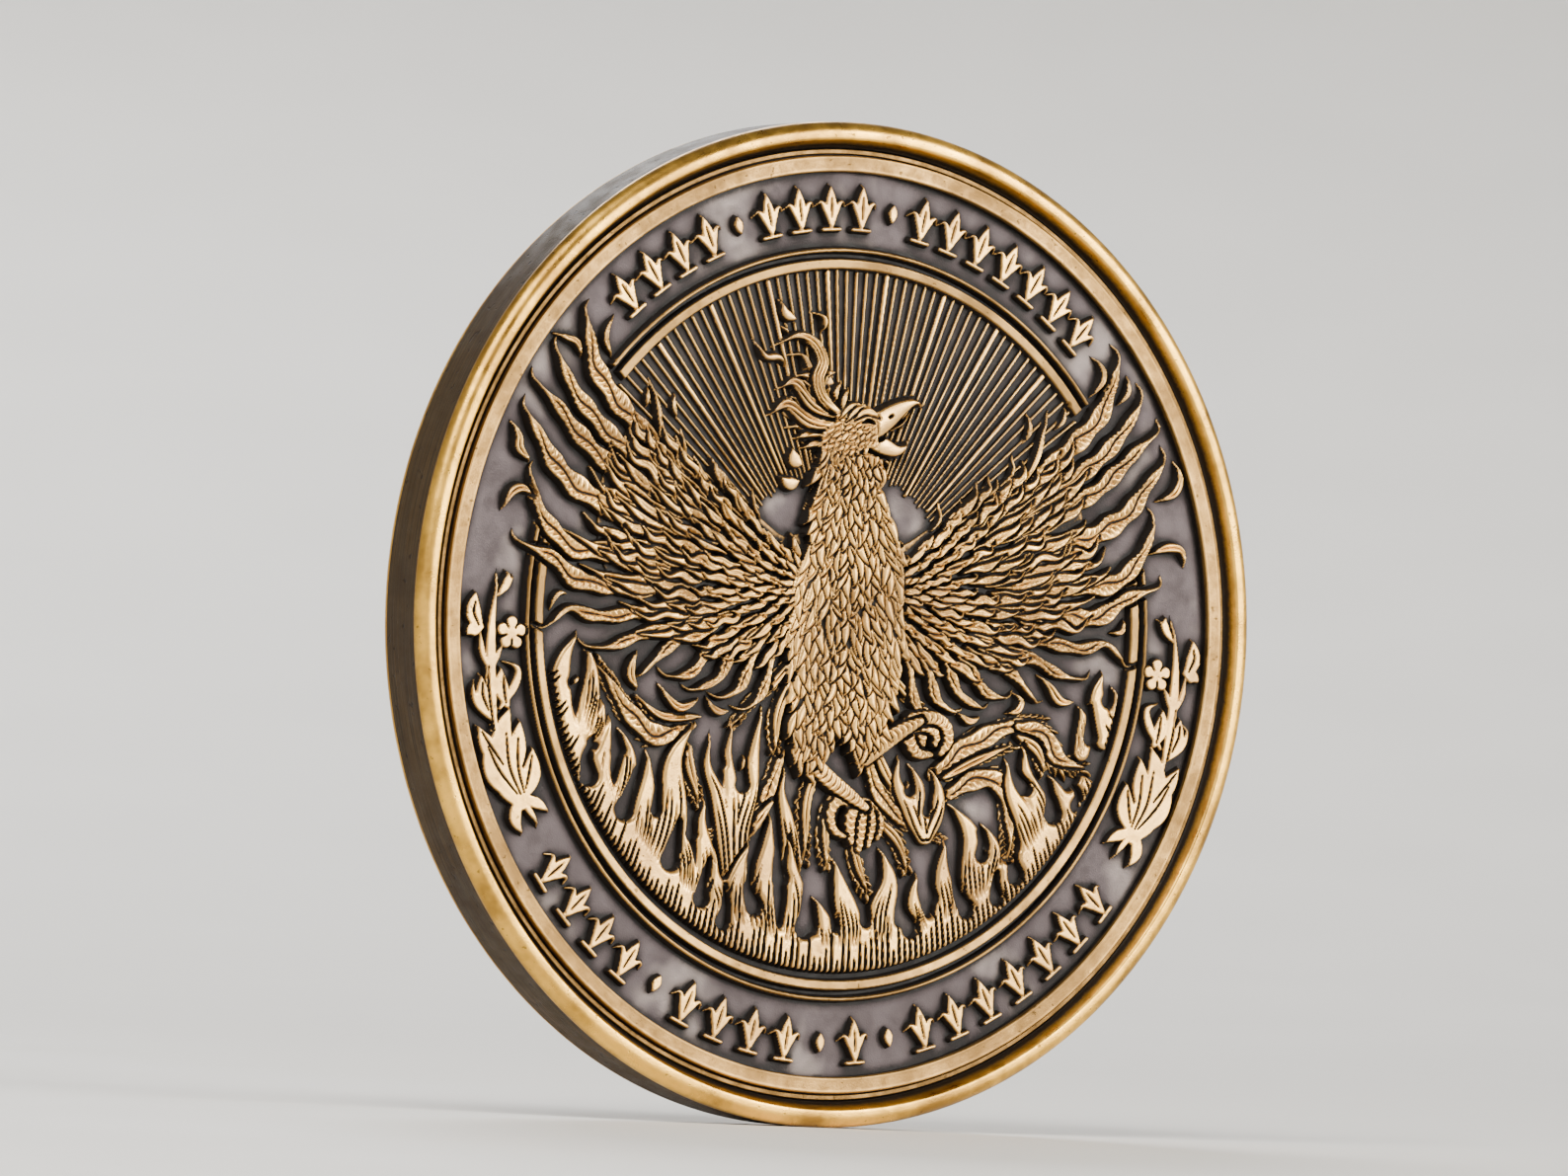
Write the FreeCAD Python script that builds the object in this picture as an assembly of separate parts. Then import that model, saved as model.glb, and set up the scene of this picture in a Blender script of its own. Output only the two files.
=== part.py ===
"""Challenge coin, 50 mm, standing on its edge: a struck brass disc with an antique phoenix relief.

The coin's axis is Y. The obverse faces -Y, the reverse faces +Y, +Z is up in the design and +X is
to the right when the obverse is looked at. The origin is the coin's centre, midway between the faces.
A real coin of this kind is one struck piece of metal. Each node here is one raised region of that
strike, standing face to face on the flat field of the blank.
"""

import FreeCAD, Part
import math
import os
from FreeCAD import Vector

# ---- driving dimensions, in millimetres -------------------------------------------------------
COIN_RADIUS = 25.0
COIN_THICKNESS = 3.7
FIELD_DEPTH = 0.75  # the field lies this far below the rim's top
RING_DROP = 0.30  # the rings lie this far below the rim's top

RIM_Y = COIN_THICKNESS / 2
FIELD_Y = RIM_Y - FIELD_DEPTH
RING_RELIEF = FIELD_DEPTH - RING_DROP

# the rim's section
RIM_BEVEL_START = 0.62  # the edge starts to curve in this far below the rim's top
RIM_CREST_OUTER = 24.4
RIM_CREST_INNER = 24.12
RIM_FOOT = 23.76

# ring radii
STEP_RING = (23.40, 23.62)
OUTER_RING = (22.50, 23.30)
THIN_RING = (18.42, 18.80)
WIDE_RING = (17.60, 18.26)
UPPER_ARC = (39.5, 140.5)  # degrees, counterclockwise from +X
LOWER_ARC = (166.5, 373.5)

# relief heights above the field
RELIEF = {
    "step": 0.14,
    "rays": 0.22,
    "tail": 0.34,
    "back_flames": 0.40,
    "feathers": 0.56,
    "loose": 0.50,
    "sprig": 0.40,
    "ornament": 0.42,
    "flames": 0.46,
    "coverts": 0.62,
    "crest": 0.60,
    "legs": 0.60,
    "beak": 0.66,
    "head": 0.70,
    "body": 0.72,
}

OBVERSE, REVERSE = -1, 1
SMALLEST_FACE = 0.012  # mm2: a scrap left by a cut that is smaller than this is dropped
PLUME_STATIONS = 7

# ---- the design: each stroke is (width, [(x, z), ... from root to tip]) ------------------------
# The wing is drawn for the right side and mirrored for the left.
WING_FEATHERS = [
    (1.15, [(11.6, 8.2), (13.5, 9.7), (15.1, 11.4), (15.7, 12.9), (16.1, 14.5)]),
    (1.00, [(11.8, 7.0), (13.8, 8.2), (15.8, 9.8), (16.9, 11.1), (17.7, 12.6)]),
    (1.00, [(12.0, 5.9), (14.3, 7.1), (16.3, 8.6), (17.5, 9.8), (18.8, 10.9)]),
    (1.25, [(12.0, 4.4), (14.6, 5.2), (17.0, 6.5), (18.3, 8.1), (19.3, 9.5)]),
    (1.10, [(11.6, 2.9), (14.0, 2.8), (16.4, 3.0), (18.1, 4.5), (18.8, 6.4)]),
    (1.05, [(10.8, 1.3), (13.4, 1.2), (15.7, 1.3), (17.3, 2.3), (19.3, 3.0)]),
    (0.75, [(9.4, 0.4), (12.0, -0.1), (14.6, -0.4), (16.2, -0.1), (17.5, -1.1)]),
    (0.72, [(7.8, 0.1), (9.9, -0.6), (11.8, -1.1), (13.5, -1.8), (15.0, -1.9)]),
    (0.66, [(6.8, 0.2), (8.6, -0.6), (10.0, -1.5), (11.1, -2.4), (12.0, -3.2)]),
    (0.70, [(5.9, -0.1), (7.1, -1.0), (8.1, -2.0), (8.9, -2.9), (10.2, -3.1)]),
    (0.66, [(5.2, -0.4), (6.3, -1.3), (6.8, -2.3), (7.3, -3.1), (8.7, -3.7)]),
    (0.66, [(4.5, -0.6), (5.2, -1.7), (5.6, -2.7), (6.0, -3.5), (7.1, -4.0)]),
    (0.62, [(3.9, -0.8), (4.2, -2.0), (4.4, -3.0), (4.8, -3.9), (5.7, -4.5)]),
]
WING_TOP_TUFTS = [
    (0.62, [(10.2, 7.8), (11.2, 9.0), (11.7, 10.3), (11.9, 11.9)]),
    (0.46, [(9.3, 7.3), (9.8, 8.1), (10.0, 9.2)]),
    (0.46, [(7.1, 6.2), (7.6, 6.9), (7.9, 7.7)]),
    (0.44, [(5.1, 5.0), (5.6, 5.6), (5.6, 6.5)]),
]
# the coverts fan out from the shoulder in rows: (distance out, first angle, last angle, count)
SHOULDER = (2.6, 2.2)
COVERT_ROWS = [
    (1.6, -58, 48, 8),
    (3.3, -52, 40, 10),
    (5.0, -40, 38, 11),
    (6.7, -28, 37, 11),
    (8.3, -16, 36, 9),
]
COVERT_SIZE = (0.80, 2.5)
COVERT_BEND = 9.0  # degrees that a covert turns up along its length

LOOSE_FLAMES = [
    (0.50, [(14.6, 12.3), (15.2, 13.2), (15.1, 13.9), (14.5, 14.4)]),
    (0.44, [(16.3, 12.0), (16.8, 12.7), (16.85, 13.6)]),
    (0.46, [(12.5, 10.5), (12.9, 11.0), (13.1, 11.8)]),
    (0.50, [(10.6, 9.7), (10.9, 10.4), (10.75, 11.3)]),
    (0.62, [(19.0, 7.3), (20.0, 7.8), (20.3, 8.6), (19.95, 9.5)]),
    (0.66, [(18.7, 4.6), (19.7, 5.0), (20.6, 4.9), (21.0, 4.0)]),
    (0.50, [(16.5, 0.5), (17.1, 0.6), (17.35, 1.3)]),
]
LOOSE_FLAMES_LEFT_ONLY = [
    (0.62, [(-8.2, -4.1), (-9.3, -4.6), (-10.1, -4.2), (-10.7, -3.4)]),
    (0.56, [(-6.4, -4.6), (-7.1, -4.7), (-7.6, -4.4), (-7.8, -3.9)]),
    (0.66, [(-11.9, -3.9), (-12.4, -3.2), (-12.3, -2.4), (-11.9, -1.9)]),
]
LOOSE_FLAMES_RIGHT_ONLY = [
    (0.70, [(14.5, -3.1), (13.5, -3.1), (12.8, -2.4), (12.1, -1.8)]),
    (0.56, [(10.3, -3.9), (10.9, -3.7), (11.1, -3.2), (10.7, -2.8)]),
    (0.56, [(7.3, -4.0), (8.0, -4.4), (8.8, -4.1)]),
]

NECK_AND_BODY = [
    (1.6, 9.1), (2.0, 7.4), (2.5, 5.5), (3.2, 3.8), (3.6, 1.8), (3.65, -0.4), (3.35, -2.4),
    (2.9, -4.4), (2.1, -6.0), (1.45, -6.9), (0.8, -6.3), (0.15, -5.1), (-0.6, -6.1), (-1.2, -7.2),
    (-1.9, -7.3), (-2.6, -6.1), (-2.85, -4.2), (-2.95, -2.0), (-3.0, 0.2), (-2.75, 2.4),
    (-2.2, 4.6), (-2.05, 6.6), (-1.85, 8.3),
]
HEAD = [
    (1.55, 9.0), (1.75, 9.7), (1.6, 10.5), (0.9, 11.0), (0.0, 11.1), (-0.9, 10.6), (-1.5, 9.7),
    (-1.8, 8.6),
]
BEAK = [
    (1.00, [(1.3, 9.9), (2.1, 10.6), (3.1, 11.2), (4.25, 11.2)]),
    (0.62, [(1.3, 9.5), (2.0, 9.15), (2.8, 8.95), (3.65, 9.45)]),
]
CREST = [
    (0.62, [(-1.6, 10.9), (-2.2, 12.2), (-2.2, 13.4), (-3.2, 14.2), (-4.8, 13.7)]),
    (0.44, [(-2.1, 11.4), (-2.7, 12.5), (-3.1, 13.3), (-3.8, 13.4)]),
    (0.72, [(-1.2, 10.6), (-2.5, 11.4), (-3.6, 11.8), (-4.5, 11.4)]),
    (0.80, [(-1.0, 10.2), (-2.4, 10.5), (-3.8, 10.7), (-5.0, 10.1)]),
    (0.62, [(-1.1, 9.8), (-2.2, 9.9), (-3.3, 10.0), (-4.2, 9.8)]),
    (0.62, [(-1.4, 9.3), (-2.3, 9.3), (-3.5, 9.0)]),
    (0.40, [(-1.9, 12.0), (-1.6, 12.5), (-0.9, 12.6)]),
    (0.38, [(-0.7, 11.1), (-0.95, 11.6), (-0.7, 12.2)]),
    (0.36, [(-0.3, 10.9), (-0.5, 11.4), (-0.2, 11.9)]),
]
CREST_SPARKS = [
    (0.52, [(-3.6, 14.9), (-4.3, 15.2), (-4.7, 15.9)]),
    (0.36, [(-2.0, 14.4), (-1.9, 15.1), (-2.6, 15.4)]),
    (0.46, [(-4.1, 12.7), (-4.7, 13.05), (-5.4, 13.0), (-6.0, 13.8)]),
    (0.62, [(-2.9, 7.8), (-3.4, 8.0), (-3.6, 8.6)]),
    (0.62, [(-3.1, 7.0), (-3.7, 6.8), (-4.2, 7.1)]),
]
STANDING_LEG = [
    (0.56, [(-1.6, -7.0), (-0.4, -7.8), (0.8, -8.5), (1.9, -9.2)]),
    (0.46, [(1.3, -8.8), (0.3, -8.9), (-0.2, -9.6), (0.0, -10.4), (0.7, -10.6)]),
    (0.46, [(1.4, -9.0), (1.35, -9.9), (1.2, -10.9)]),
    (0.46, [(1.7, -9.1), (1.85, -10.0), (1.8, -11.0)]),
    (0.46, [(1.8, -9.0), (2.5, -9.9), (2.6, -10.9)]),
]
RAISED_LEG = [
    (0.60, [(1.7, -6.3), (2.9, -5.5), (4.0, -4.7), (4.9, -4.4)]),
    (0.50, [(4.3, -4.4), (5.4, -4.4), (6.2, -4.9), (6.1, -5.7)]),
    (0.44, [(4.0, -4.7), (4.2, -5.4), (4.7, -6.0), (5.3, -5.9)]),
    (0.40, [(4.6, -4.6), (5.2, -5.0), (5.7, -5.4)]),
]
TAIL_LEFT = [
    (1.30, [(-8.6, -5.5), (-10.8, -6.1), (-12.6, -5.0), (-13.6, -3.9), (-14.3, -2.8)]),
    (0.50, [(-8.8, -5.1), (-10.4, -5.4), (-11.3, -5.0), (-11.8, -4.2)]),
    (0.80, [(-3.3, -6.9), (-3.8, -8.5), (-5.0, -9.9), (-7.2, -10.9)]),
    (0.76, [(-4.2, -9.0), (-5.3, -10.6), (-6.6, -12.0)]),
]
TAIL_RIGHT = [
    (0.90, [(12.9, -4.1), (11.4, -4.4), (9.6, -4.7), (8.0, -5.4), (6.1, -6.8)]),
    (0.80, [(11.0, -5.2), (9.6, -5.4), (8.2, -6.1), (6.3, -7.2)]),
    (1.20, [(11.4, -5.0), (12.8, -5.5), (13.8, -6.4), (15.4, -6.5)]),
    (0.90, [(11.4, -10.6), (10.7, -9.2), (10.2, -7.7), (9.0, -7.1), (6.9, -8.0)]),
    (0.80, [(1.9, -7.2), (3.0, -8.9), (4.8, -9.8), (6.9, -10.5)]),
]
# flame tongues run from the ring at the foot up to the tip; the gaps are the round bottoms between
FRONT_TONGUES = [
    (1.20, [(-16.2, -5.9), (-16.5, -4.0), (-16.3, -2.5), (-15.6, -1.2)]),
    (1.05, [(-15.0, -5.9), (-14.6, -4.0), (-14.9, -2.8), (-15.1, -1.7)]),
    (0.85, [(-15.1, -9.0), (-15.4, -8.0), (-15.3, -7.2), (-15.2, -6.5)]),
    (1.30, [(-13.2, -10.6), (-13.9, -8.4), (-13.7, -6.8), (-13.4, -5.1)]),
    (1.00, [(-12.7, -9.6), (-12.3, -8.0), (-12.3, -6.9), (-12.9, -5.7)]),
    (1.35, [(-11.6, -12.6), (-11.3, -10.3), (-11.1, -8.5), (-11.15, -6.7)]),
    (1.65, [(-10.6, -13.1), (-9.6, -10.0), (-9.6, -7.2), (-8.4, -5.2)]),
    (0.95, [(-8.6, -14.2), (-8.8, -12.2), (-8.95, -10.8), (-8.85, -9.4)]),
    (1.20, [(-8.0, -14.8), (-7.4, -12.4), (-7.8, -10.4), (-7.6, -8.85)]),
    (1.15, [(-6.9, -15.6), (-6.4, -14.2), (-6.9, -12.8), (-7.0, -11.5)]),
    (1.30, [(-5.4, -16.2), (-5.7, -14.0), (-5.4, -12.3), (-4.8, -10.9)]),
    (1.50, [(-3.6, -16.6), (-4.1, -13.8), (-3.8, -11.5), (-3.7, -9.5)]),
    (1.25, [(-2.2, -16.6), (-1.9, -14.0), (-2.3, -12.2), (-2.55, -10.6)]),
    (1.05, [(0.0, -17.0), (-0.2, -15.4), (-0.4, -14.3), (-0.9, -13.5)]),
    (1.45, [(1.3, -17.0), (1.3, -14.9), (0.7, -13.1), (0.15, -11.5)]),
    (1.50, [(3.2, -16.8), (3.2, -14.4), (3.6, -12.6), (2.95, -10.9)]),
    (0.95, [(5.9, -15.8), (5.3, -14.2), (5.1, -13.1), (5.35, -12.0)]),
    (1.30, [(7.2, -15.6), (7.2, -13.8), (6.8, -12.0), (6.9, -10.3)]),
    (1.55, [(9.2, -14.6), (8.8, -12.2), (8.4, -10.0), (7.0, -8.5)]),
    (1.00, [(9.6, -13.4), (9.7, -11.8), (9.9, -10.6), (9.1, -9.4)]),
    (0.90, [(10.9, -13.4), (10.6, -12.6), (10.4, -12.0), (10.5, -11.2)]),
    (1.20, [(12.8, -11.6), (11.7, -9.2), (10.7, -7.7), (10.4, -6.0)]),
    (1.25, [(13.2, -10.8), (12.6, -8.6), (11.7, -7.0), (11.4, -5.3)]),
    (1.05, [(14.1, -9.9), (14.0, -8.9), (13.6, -7.8), (13.1, -6.8)]),
    (0.95, [(15.0, -8.9), (15.5, -8.2), (15.5, -7.5), (15.0, -6.8)]),
    (0.95, [(15.0, -5.6), (15.1, -4.8), (15.0, -4.0), (14.7, -3.2)]),
    (1.10, [(16.4, -4.9), (16.0, -3.7), (15.8, -2.6), (16.15, -1.35)]),
    (0.75, [(16.8, -4.7), (17.0, -3.8), (17.0, -2.9), (16.8, -2.1)]),
]
FLAME_GAPS = [
    (0.36, -15.6, -3.6), (0.46, -14.55, -8.15), (0.38, -12.85, -6.85), (0.50, -12.45, -9.75),
    (0.34, -10.4, -9.4), (0.56, -9.5, -12.05), (0.34, -8.3, -10.7), (0.42, -7.6, -13.9),
    (0.36, -6.2, -15.0), (0.46, -4.4, -14.1), (0.44, -2.9, -12.75), (0.52, -1.35, -15.15),
    (0.30, 0.5, -15.0), (0.34, 2.25, -14.6), (0.52, 5.0, -14.8), (0.42, 6.1, -13.3),
    (0.46, 8.35, -13.8), (0.36, 9.15, -11.0), (0.40, 10.2, -13.1), (0.46, 11.35, -11.9),
    (0.40, 11.65, -7.5), (0.52, 13.35, -8.7), (0.34, 14.8, -8.3), (0.40, 15.5, -4.8),
    (0.32, 16.5, -2.9),
]
FLAME_FOOT_RADIUS = 17.36
# the foot of the flames: height of its inner edge above the ring, at angles in degrees
FLAME_FOOT = [
    (198, 0.6), (207, 1.2), (217, 1.3), (226, 1.6), (236, 2.0), (246, 1.6), (257, 1.5), (268, 1.7),
    (278, 2.3), (289, 1.5), (299, 1.6), (309, 1.6), (319, 1.4), (329, 1.2), (336, 0.6),
]
BACK_TONGUES = [
    (1.05, [(-6.3, -10.8), (-6.9, -8.8), (-7.6, -7.3), (-7.4, -5.6)]),
    (1.15, [(-5.9, -10.8), (-6.1, -8.6), (-6.4, -6.8), (-6.15, -4.9)]),
    (1.15, [(-5.5, -10.6), (-5.0, -8.4), (-4.8, -6.2), (-4.4, -4.1)]),
    (1.00, [(-2.3, -11.4), (-2.7, -9.8), (-3.1, -8.4), (-2.85, -7.1)]),
    (0.85, [(5.5, -10.2), (4.7, -9.0), (3.8, -7.6), (3.9, -6.2)]),
    (0.80, [(5.6, -10.2), (5.3, -9.0), (5.2, -7.8), (4.45, -6.6)]),
    (0.85, [(5.8, -10.2), (6.3, -9.0), (6.35, -7.9), (5.8, -6.8)]),
]

# ---- the sprig, drawn for the left side and mirrored for the right ------------------------------
SPRIG_STROKES = [
    (0.52, [(-20.1, -6.2), (-20.5, -3.6), (-20.6, -1.0), (-20.3, 1.6)]),
    (0.34, [(-20.7, -3.3), (-21.1, -2.4), (-21.3, -1.2)]),
    (0.34, [(-20.5, -3.4), (-20.2, -2.6), (-19.8, -1.9)]),
    (0.40, [(-20.3, 0.3), (-19.9, 0.8), (-19.5, 1.4)]),
    (0.80, [(-21.3, -1.3), (-21.7, -0.5), (-21.6, 0.5)]),
    (0.60, [(-21.2, -1.2), (-21.8, -0.9), (-22.25, -0.7)]),
    (0.70, [(-21.2, -1.3), (-21.8, -1.5), (-22.2, -1.8)]),
    (0.50, [(-19.9, -5.2), (-19.1, -4.0), (-19.0, -3.2), (-19.9, -2.85)]),
    (0.80, [(-19.5, -5.0), (-19.9, -4.1), (-19.95, -3.1)]),
    (0.46, [(-20.3, -5.8), (-21.2, -5.0), (-21.5, -4.3), (-21.3, -3.8)]),
    (0.80, [(-20.4, -5.6), (-20.9, -4.7), (-21.1, -3.5)]),
    (0.90, [(-19.6, -8.0), (-20.6, -6.9), (-21.2, -6.0)]),
    (1.10, [(-19.3, -8.2), (-19.7, -6.6), (-19.3, -5.0)]),
    (1.00, [(-18.9, -8.4), (-18.8, -7.0), (-18.7, -5.6)]),
    (1.00, [(-18.3, -9.4), (-17.9, -8.3), (-17.9, -6.9)]),
    (1.00, [(-18.9, -9.4), (-20.1, -8.3), (-20.8, -7.0)]),
    (0.62, [(-18.5, -9.5), (-17.5, -9.7), (-16.65, -10.15)]),
    (0.36, [(-18.5, -9.5), (-17.7, -10.3), (-17.25, -10.95)]),
    (0.70, [(-18.5, -9.4), (-18.7, -10.5), (-18.15, -11.35)]),
]
SPRIG_BUD = (-19.2, -8.3, 1.75, 1.10, -28)  # x, z, long radius, short radius, lean in degrees
SPRIG_BLOSSOM = (-19.45, -1.5, 0.52, 0.36, 5)  # x, z, petal ring radius, petal radius, petals

# ---- the two bands of palmettes that stand where such a coin carries its legends ----------------
BAND_RADIUS = 20.72
UPPER_WORDS = (4, 4, 7)
UPPER_BAND = (131.5, 48.5)  # degrees, first and last palmette
LOWER_WORDS = (4, 4, 1, 7)
LOWER_BAND = (218.5, 321.0)
PALMETTE = [
    (0.84, [(0.0, -1.0), (0.0, 0.15), (0.0, 1.25)]),
    (0.50, [(0.08, -1.0), (0.24, -0.25), (0.62, 0.28), (0.98, -0.02)]),
    (0.50, [(-0.08, -1.0), (-0.24, -0.25), (-0.62, 0.28), (-0.98, -0.02)]),
]
PALMETTE_FOOT = (0.66, 0.36, -1.08)  # half width, height, z
LOZENGE = (0.33, 0.52)

# ---- rays ----------------------------------------------------------------------------------------
RAY_CENTRE_Z = 0.6
RAY_PITCH = 12.2  # degrees between wide rays
FINE_PER_PITCH = 6
RAY_START = 6.9
WIDE_RAY = (0.17, 0.40)  # width at the start and at the ring
FINE_RAY = (0.10, 0.21)
RAY_LIMIT = 56.0

# ---- reverse -------------------------------------------------------------------------------------
REVERSE_BEADS = 60
BEAD_RADIUS = 0.42
REVERSE_RAYS = 48
REVERSE_RAY = (7.2, 17.0, 0.22, 0.80)  # start, end, width at the start and at the end
MEDALLION_RADIUS = 6.4
REVERSE_FLAMES = [
    (2.0, [(0.0, -4.4), (0.5, -1.6), (-0.5, 1.4), (0.3, 4.8)]),
    (1.6, [(-0.6, -4.3), (-1.9, -2.2), (-2.1, -0.2), (-3.2, 2.0)]),
    (1.6, [(0.6, -4.3), (2.2, -2.4), (1.8, -0.4), (2.9, 1.7)]),
]


# ---- building blocks -----------------------------------------------------------------------------
def at(x, z, side=OBVERSE):
    """A point on the field, from its place in the design as seen by someone facing that side."""
    return Vector(x if side == OBVERSE else -x, side * FIELD_Y, z)


def mirrored(strokes):
    return [(width, [(-x, z) for x, z in points]) for width, points in strokes]


def smooth(points, closed=False):
    curve = Part.BSplineCurve()
    curve.interpolate(Points=points, PeriodicFlag=closed)
    return curve


def swell(t, root, peak):
    """How wide a stroke is along its length, as a share of its full width."""
    if t < peak:
        return root + (1 - root) * math.sin(math.pi / 2 * t / peak) ** 0.9
    return 1 - ((t - peak) / (1 - peak)) ** 1.6


def plume(width, points, root=0.0, peak=0.38, side=OBVERSE):
    """A face shaped like a flame or feather: a curved centreline with a swelling width."""
    line = smooth([at(x, z, side) for x, z in points])
    first, last = line.FirstParameter, line.LastParameter
    left, right = [], []
    for k in range(1, PLUME_STATIONS):
        t = k / PLUME_STATIONS
        here = line.value(first + t * (last - first))
        along = line.tangent(first + t * (last - first))[0]
        out = Vector(-along.z, 0, along.x) * (width / 2 * swell(t, root, peak))
        left.append(here + out)
        right.append(here - out)
    start, tip = line.value(first), line.value(last)
    along = line.tangent(first)[0]
    out = Vector(-along.z, 0, along.x) * (width / 2 * root)
    first_left, first_right = start + out, start - out
    edges = [smooth([first_left, *left, tip]).toShape(), smooth([first_right, *right, tip]).toShape()]
    if root > 0:
        edges.append(Part.LineSegment(first_left, first_right).toShape())
    return Part.Face(Part.Wire(Part.__sortEdges__(edges)))


def blob(points, side=OBVERSE):
    """A face inside a smooth closed outline."""
    return Part.Face(Part.Wire([smooth([at(x, z, side) for x, z in points], closed=True).toShape()]))


def disc(x, z, radius, side=OBVERSE):
    return Part.Face(Part.Wire([Part.Circle(at(x, z, side), Vector(0, 1, 0), radius).toShape()]))


def polygon(points, side=OBVERSE):
    corners = [at(x, z, side) for x, z in points]
    return Part.Face(Part.makePolygon([*corners, corners[0]]))


def on_circle(radius, degrees):
    return radius * math.cos(math.radians(degrees)), radius * math.sin(math.radians(degrees))


def sector(inner, outer, first, last, side=OBVERSE):
    """A piece of a flat ring between two angles, in degrees from +X."""
    middle = (first + last) / 2
    arcs = [
        Part.Arc(*[at(*on_circle(radius, a), side) for a in (first, middle, last)]).toShape()
        for radius in (inner, outer)
    ]
    ends = [
        Part.LineSegment(at(*on_circle(inner, a), side), at(*on_circle(outer, a), side)).toShape()
        for a in (first, last)
    ]
    return Part.Face(Part.Wire(Part.__sortEdges__(arcs + ends)))


def facing_up(face):
    """The same face with its normal along +Y, so that neighbours can merge."""
    if face.normalAt(0, 0).y > 0:
        return face
    face = face.copy()
    face.reverse()
    return face


def joined(regions):
    """One region from overlapping faces."""
    faces = [facing_up(face) for region in regions for face in region.Faces]
    if len(faces) == 1:
        return faces[0]
    return Part.makeShell(faces[0].multiFuse(faces[1:]).Faces).removeSplitter()


def uncovered(region, in_front):
    """What is left of a region beside the faces that stand in front of it."""
    left = []
    for face in region.Faces:
        near = [other for other in in_front if other.BoundBox.intersect(face.BoundBox)]
        left += face.cut(near).Faces if near else [face]
    return Part.makeCompound(left)


def raised(region, height, side=OBVERSE):
    """Solids that stand on the field, one for each face of a region."""
    faces = [f for f in region.Faces if f.Area > SMALLEST_FACE]
    return Part.makeCompound([f.extrude(Vector(0, side * height, 0)) for f in faces])


def turned_ring(section):
    """A full ring from its section, given as (radius, y) corners."""
    corners = [Vector(r, y, 0) for r, y in section]
    face = Part.Face(Part.makePolygon([*corners, corners[0]]))
    return face.revolve(Vector(0, 0, 0), Vector(0, 1, 0), 360)


# ---- the coin's turned pieces --------------------------------------------------------------------
def blank():
    return Part.makeCylinder(COIN_RADIUS, 2 * FIELD_Y, Vector(0, -FIELD_Y, 0), Vector(0, 1, 0))


def rim(side):
    """The raised rim: an upright edge, a rounded shoulder, a narrow crest and a sloping inner wall."""
    shoulder_y = RIM_Y - RIM_BEVEL_START
    corner = math.sqrt(0.5)
    foot = Vector(COIN_RADIUS, side * FIELD_Y, 0)
    low = Vector(COIN_RADIUS, side * shoulder_y, 0)
    middle = Vector(
        RIM_CREST_OUTER + (COIN_RADIUS - RIM_CREST_OUTER) * corner,
        side * (shoulder_y + RIM_BEVEL_START * corner),
        0,
    )
    crest_outer = Vector(RIM_CREST_OUTER, side * RIM_Y, 0)
    crest_inner = Vector(RIM_CREST_INNER, side * RIM_Y, 0)
    inner_foot = Vector(RIM_FOOT, side * FIELD_Y, 0)
    edges = [
        Part.LineSegment(foot, low).toShape(),
        Part.Arc(low, middle, crest_outer).toShape(),
        Part.LineSegment(crest_outer, crest_inner).toShape(),
        Part.LineSegment(crest_inner, inner_foot).toShape(),
        Part.LineSegment(inner_foot, foot).toShape(),
    ]
    return Part.Face(Part.Wire(edges)).revolve(Vector(0, 0, 0), Vector(0, 1, 0), 360)


def flat_ring(radii, height, side, bevel):
    """A raised ring with bevelled shoulders."""
    inner, outer = radii
    foot, top = side * FIELD_Y, side * (FIELD_Y + height)
    shoulder = side * (FIELD_Y + height - bevel)
    return turned_ring([
        (inner, foot), (outer, foot), (outer, shoulder), (outer - bevel, top), (inner + bevel, top),
        (inner, shoulder),
    ])


# ---- regions of the obverse relief ---------------------------------------------------------------
def covert(distance, degrees):
    """One small feather of the wing, pointing away from the shoulder and bending up."""
    width, length = COVERT_SIZE
    a = math.radians(degrees)
    x, z = SHOULDER[0] + distance * math.cos(a), SHOULDER[1] + distance * math.sin(a)
    points = [(x, z)]
    for step in (1, 2):
        b = a + math.radians(COVERT_BEND * step)
        x, z = x + length / 2 * math.cos(b), z + length / 2 * math.sin(b)
        points.append((x, z))
    return width, points


def coverts():
    strokes = []
    for distance, first, last, count in COVERT_ROWS:
        for k in range(count):
            strokes.append(covert(distance, first + (last - first) * k / (count - 1)))
    return strokes


def wing_mass():
    """The solid part of the wing under its coverts, as one smooth outline."""
    edge = [(2.4, 4.6), (5.0, 5.0), (8.6, 7.2), (11.2, 8.4), (12.6, 7.4), (12.6, 4.2), (11.6, 1.4)]
    return edge + [(9.4, 0.2), (6.4, -0.8), (4.0, -1.2), (2.4, 0.6), (2.0, 2.6)]


def flame_foot():
    """The solid foot of the flames along the inside of the ring."""
    first, last = FLAME_FOOT[0][0], FLAME_FOOT[-1][0]
    inner = smooth([at(*on_circle(FLAME_FOOT_RADIUS - h, a)) for a, h in FLAME_FOOT]).toShape()
    outer_points = [at(*on_circle(FLAME_FOOT_RADIUS, a)) for a in (first, (first + last) / 2, last)]
    outer = Part.Arc(*outer_points).toShape()
    ends = [
        Part.LineSegment(at(*on_circle(FLAME_FOOT_RADIUS - h, a)), at(*on_circle(FLAME_FOOT_RADIUS, a)))
        for a, h in (FLAME_FOOT[0], FLAME_FOOT[-1])
    ]
    return Part.Face(Part.Wire(Part.__sortEdges__([inner, outer, *[e.toShape() for e in ends]])))


def front_flames():
    tongues = [plume(w, p, root=0.75, peak=0.30) for w, p in FRONT_TONGUES]
    region = joined([flame_foot(), *tongues])
    region = region.cut([disc(x, z, radius) for radius, x, z in FLAME_GAPS])
    return region.common(disc(0, 0, FLAME_FOOT_RADIUS))


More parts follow.
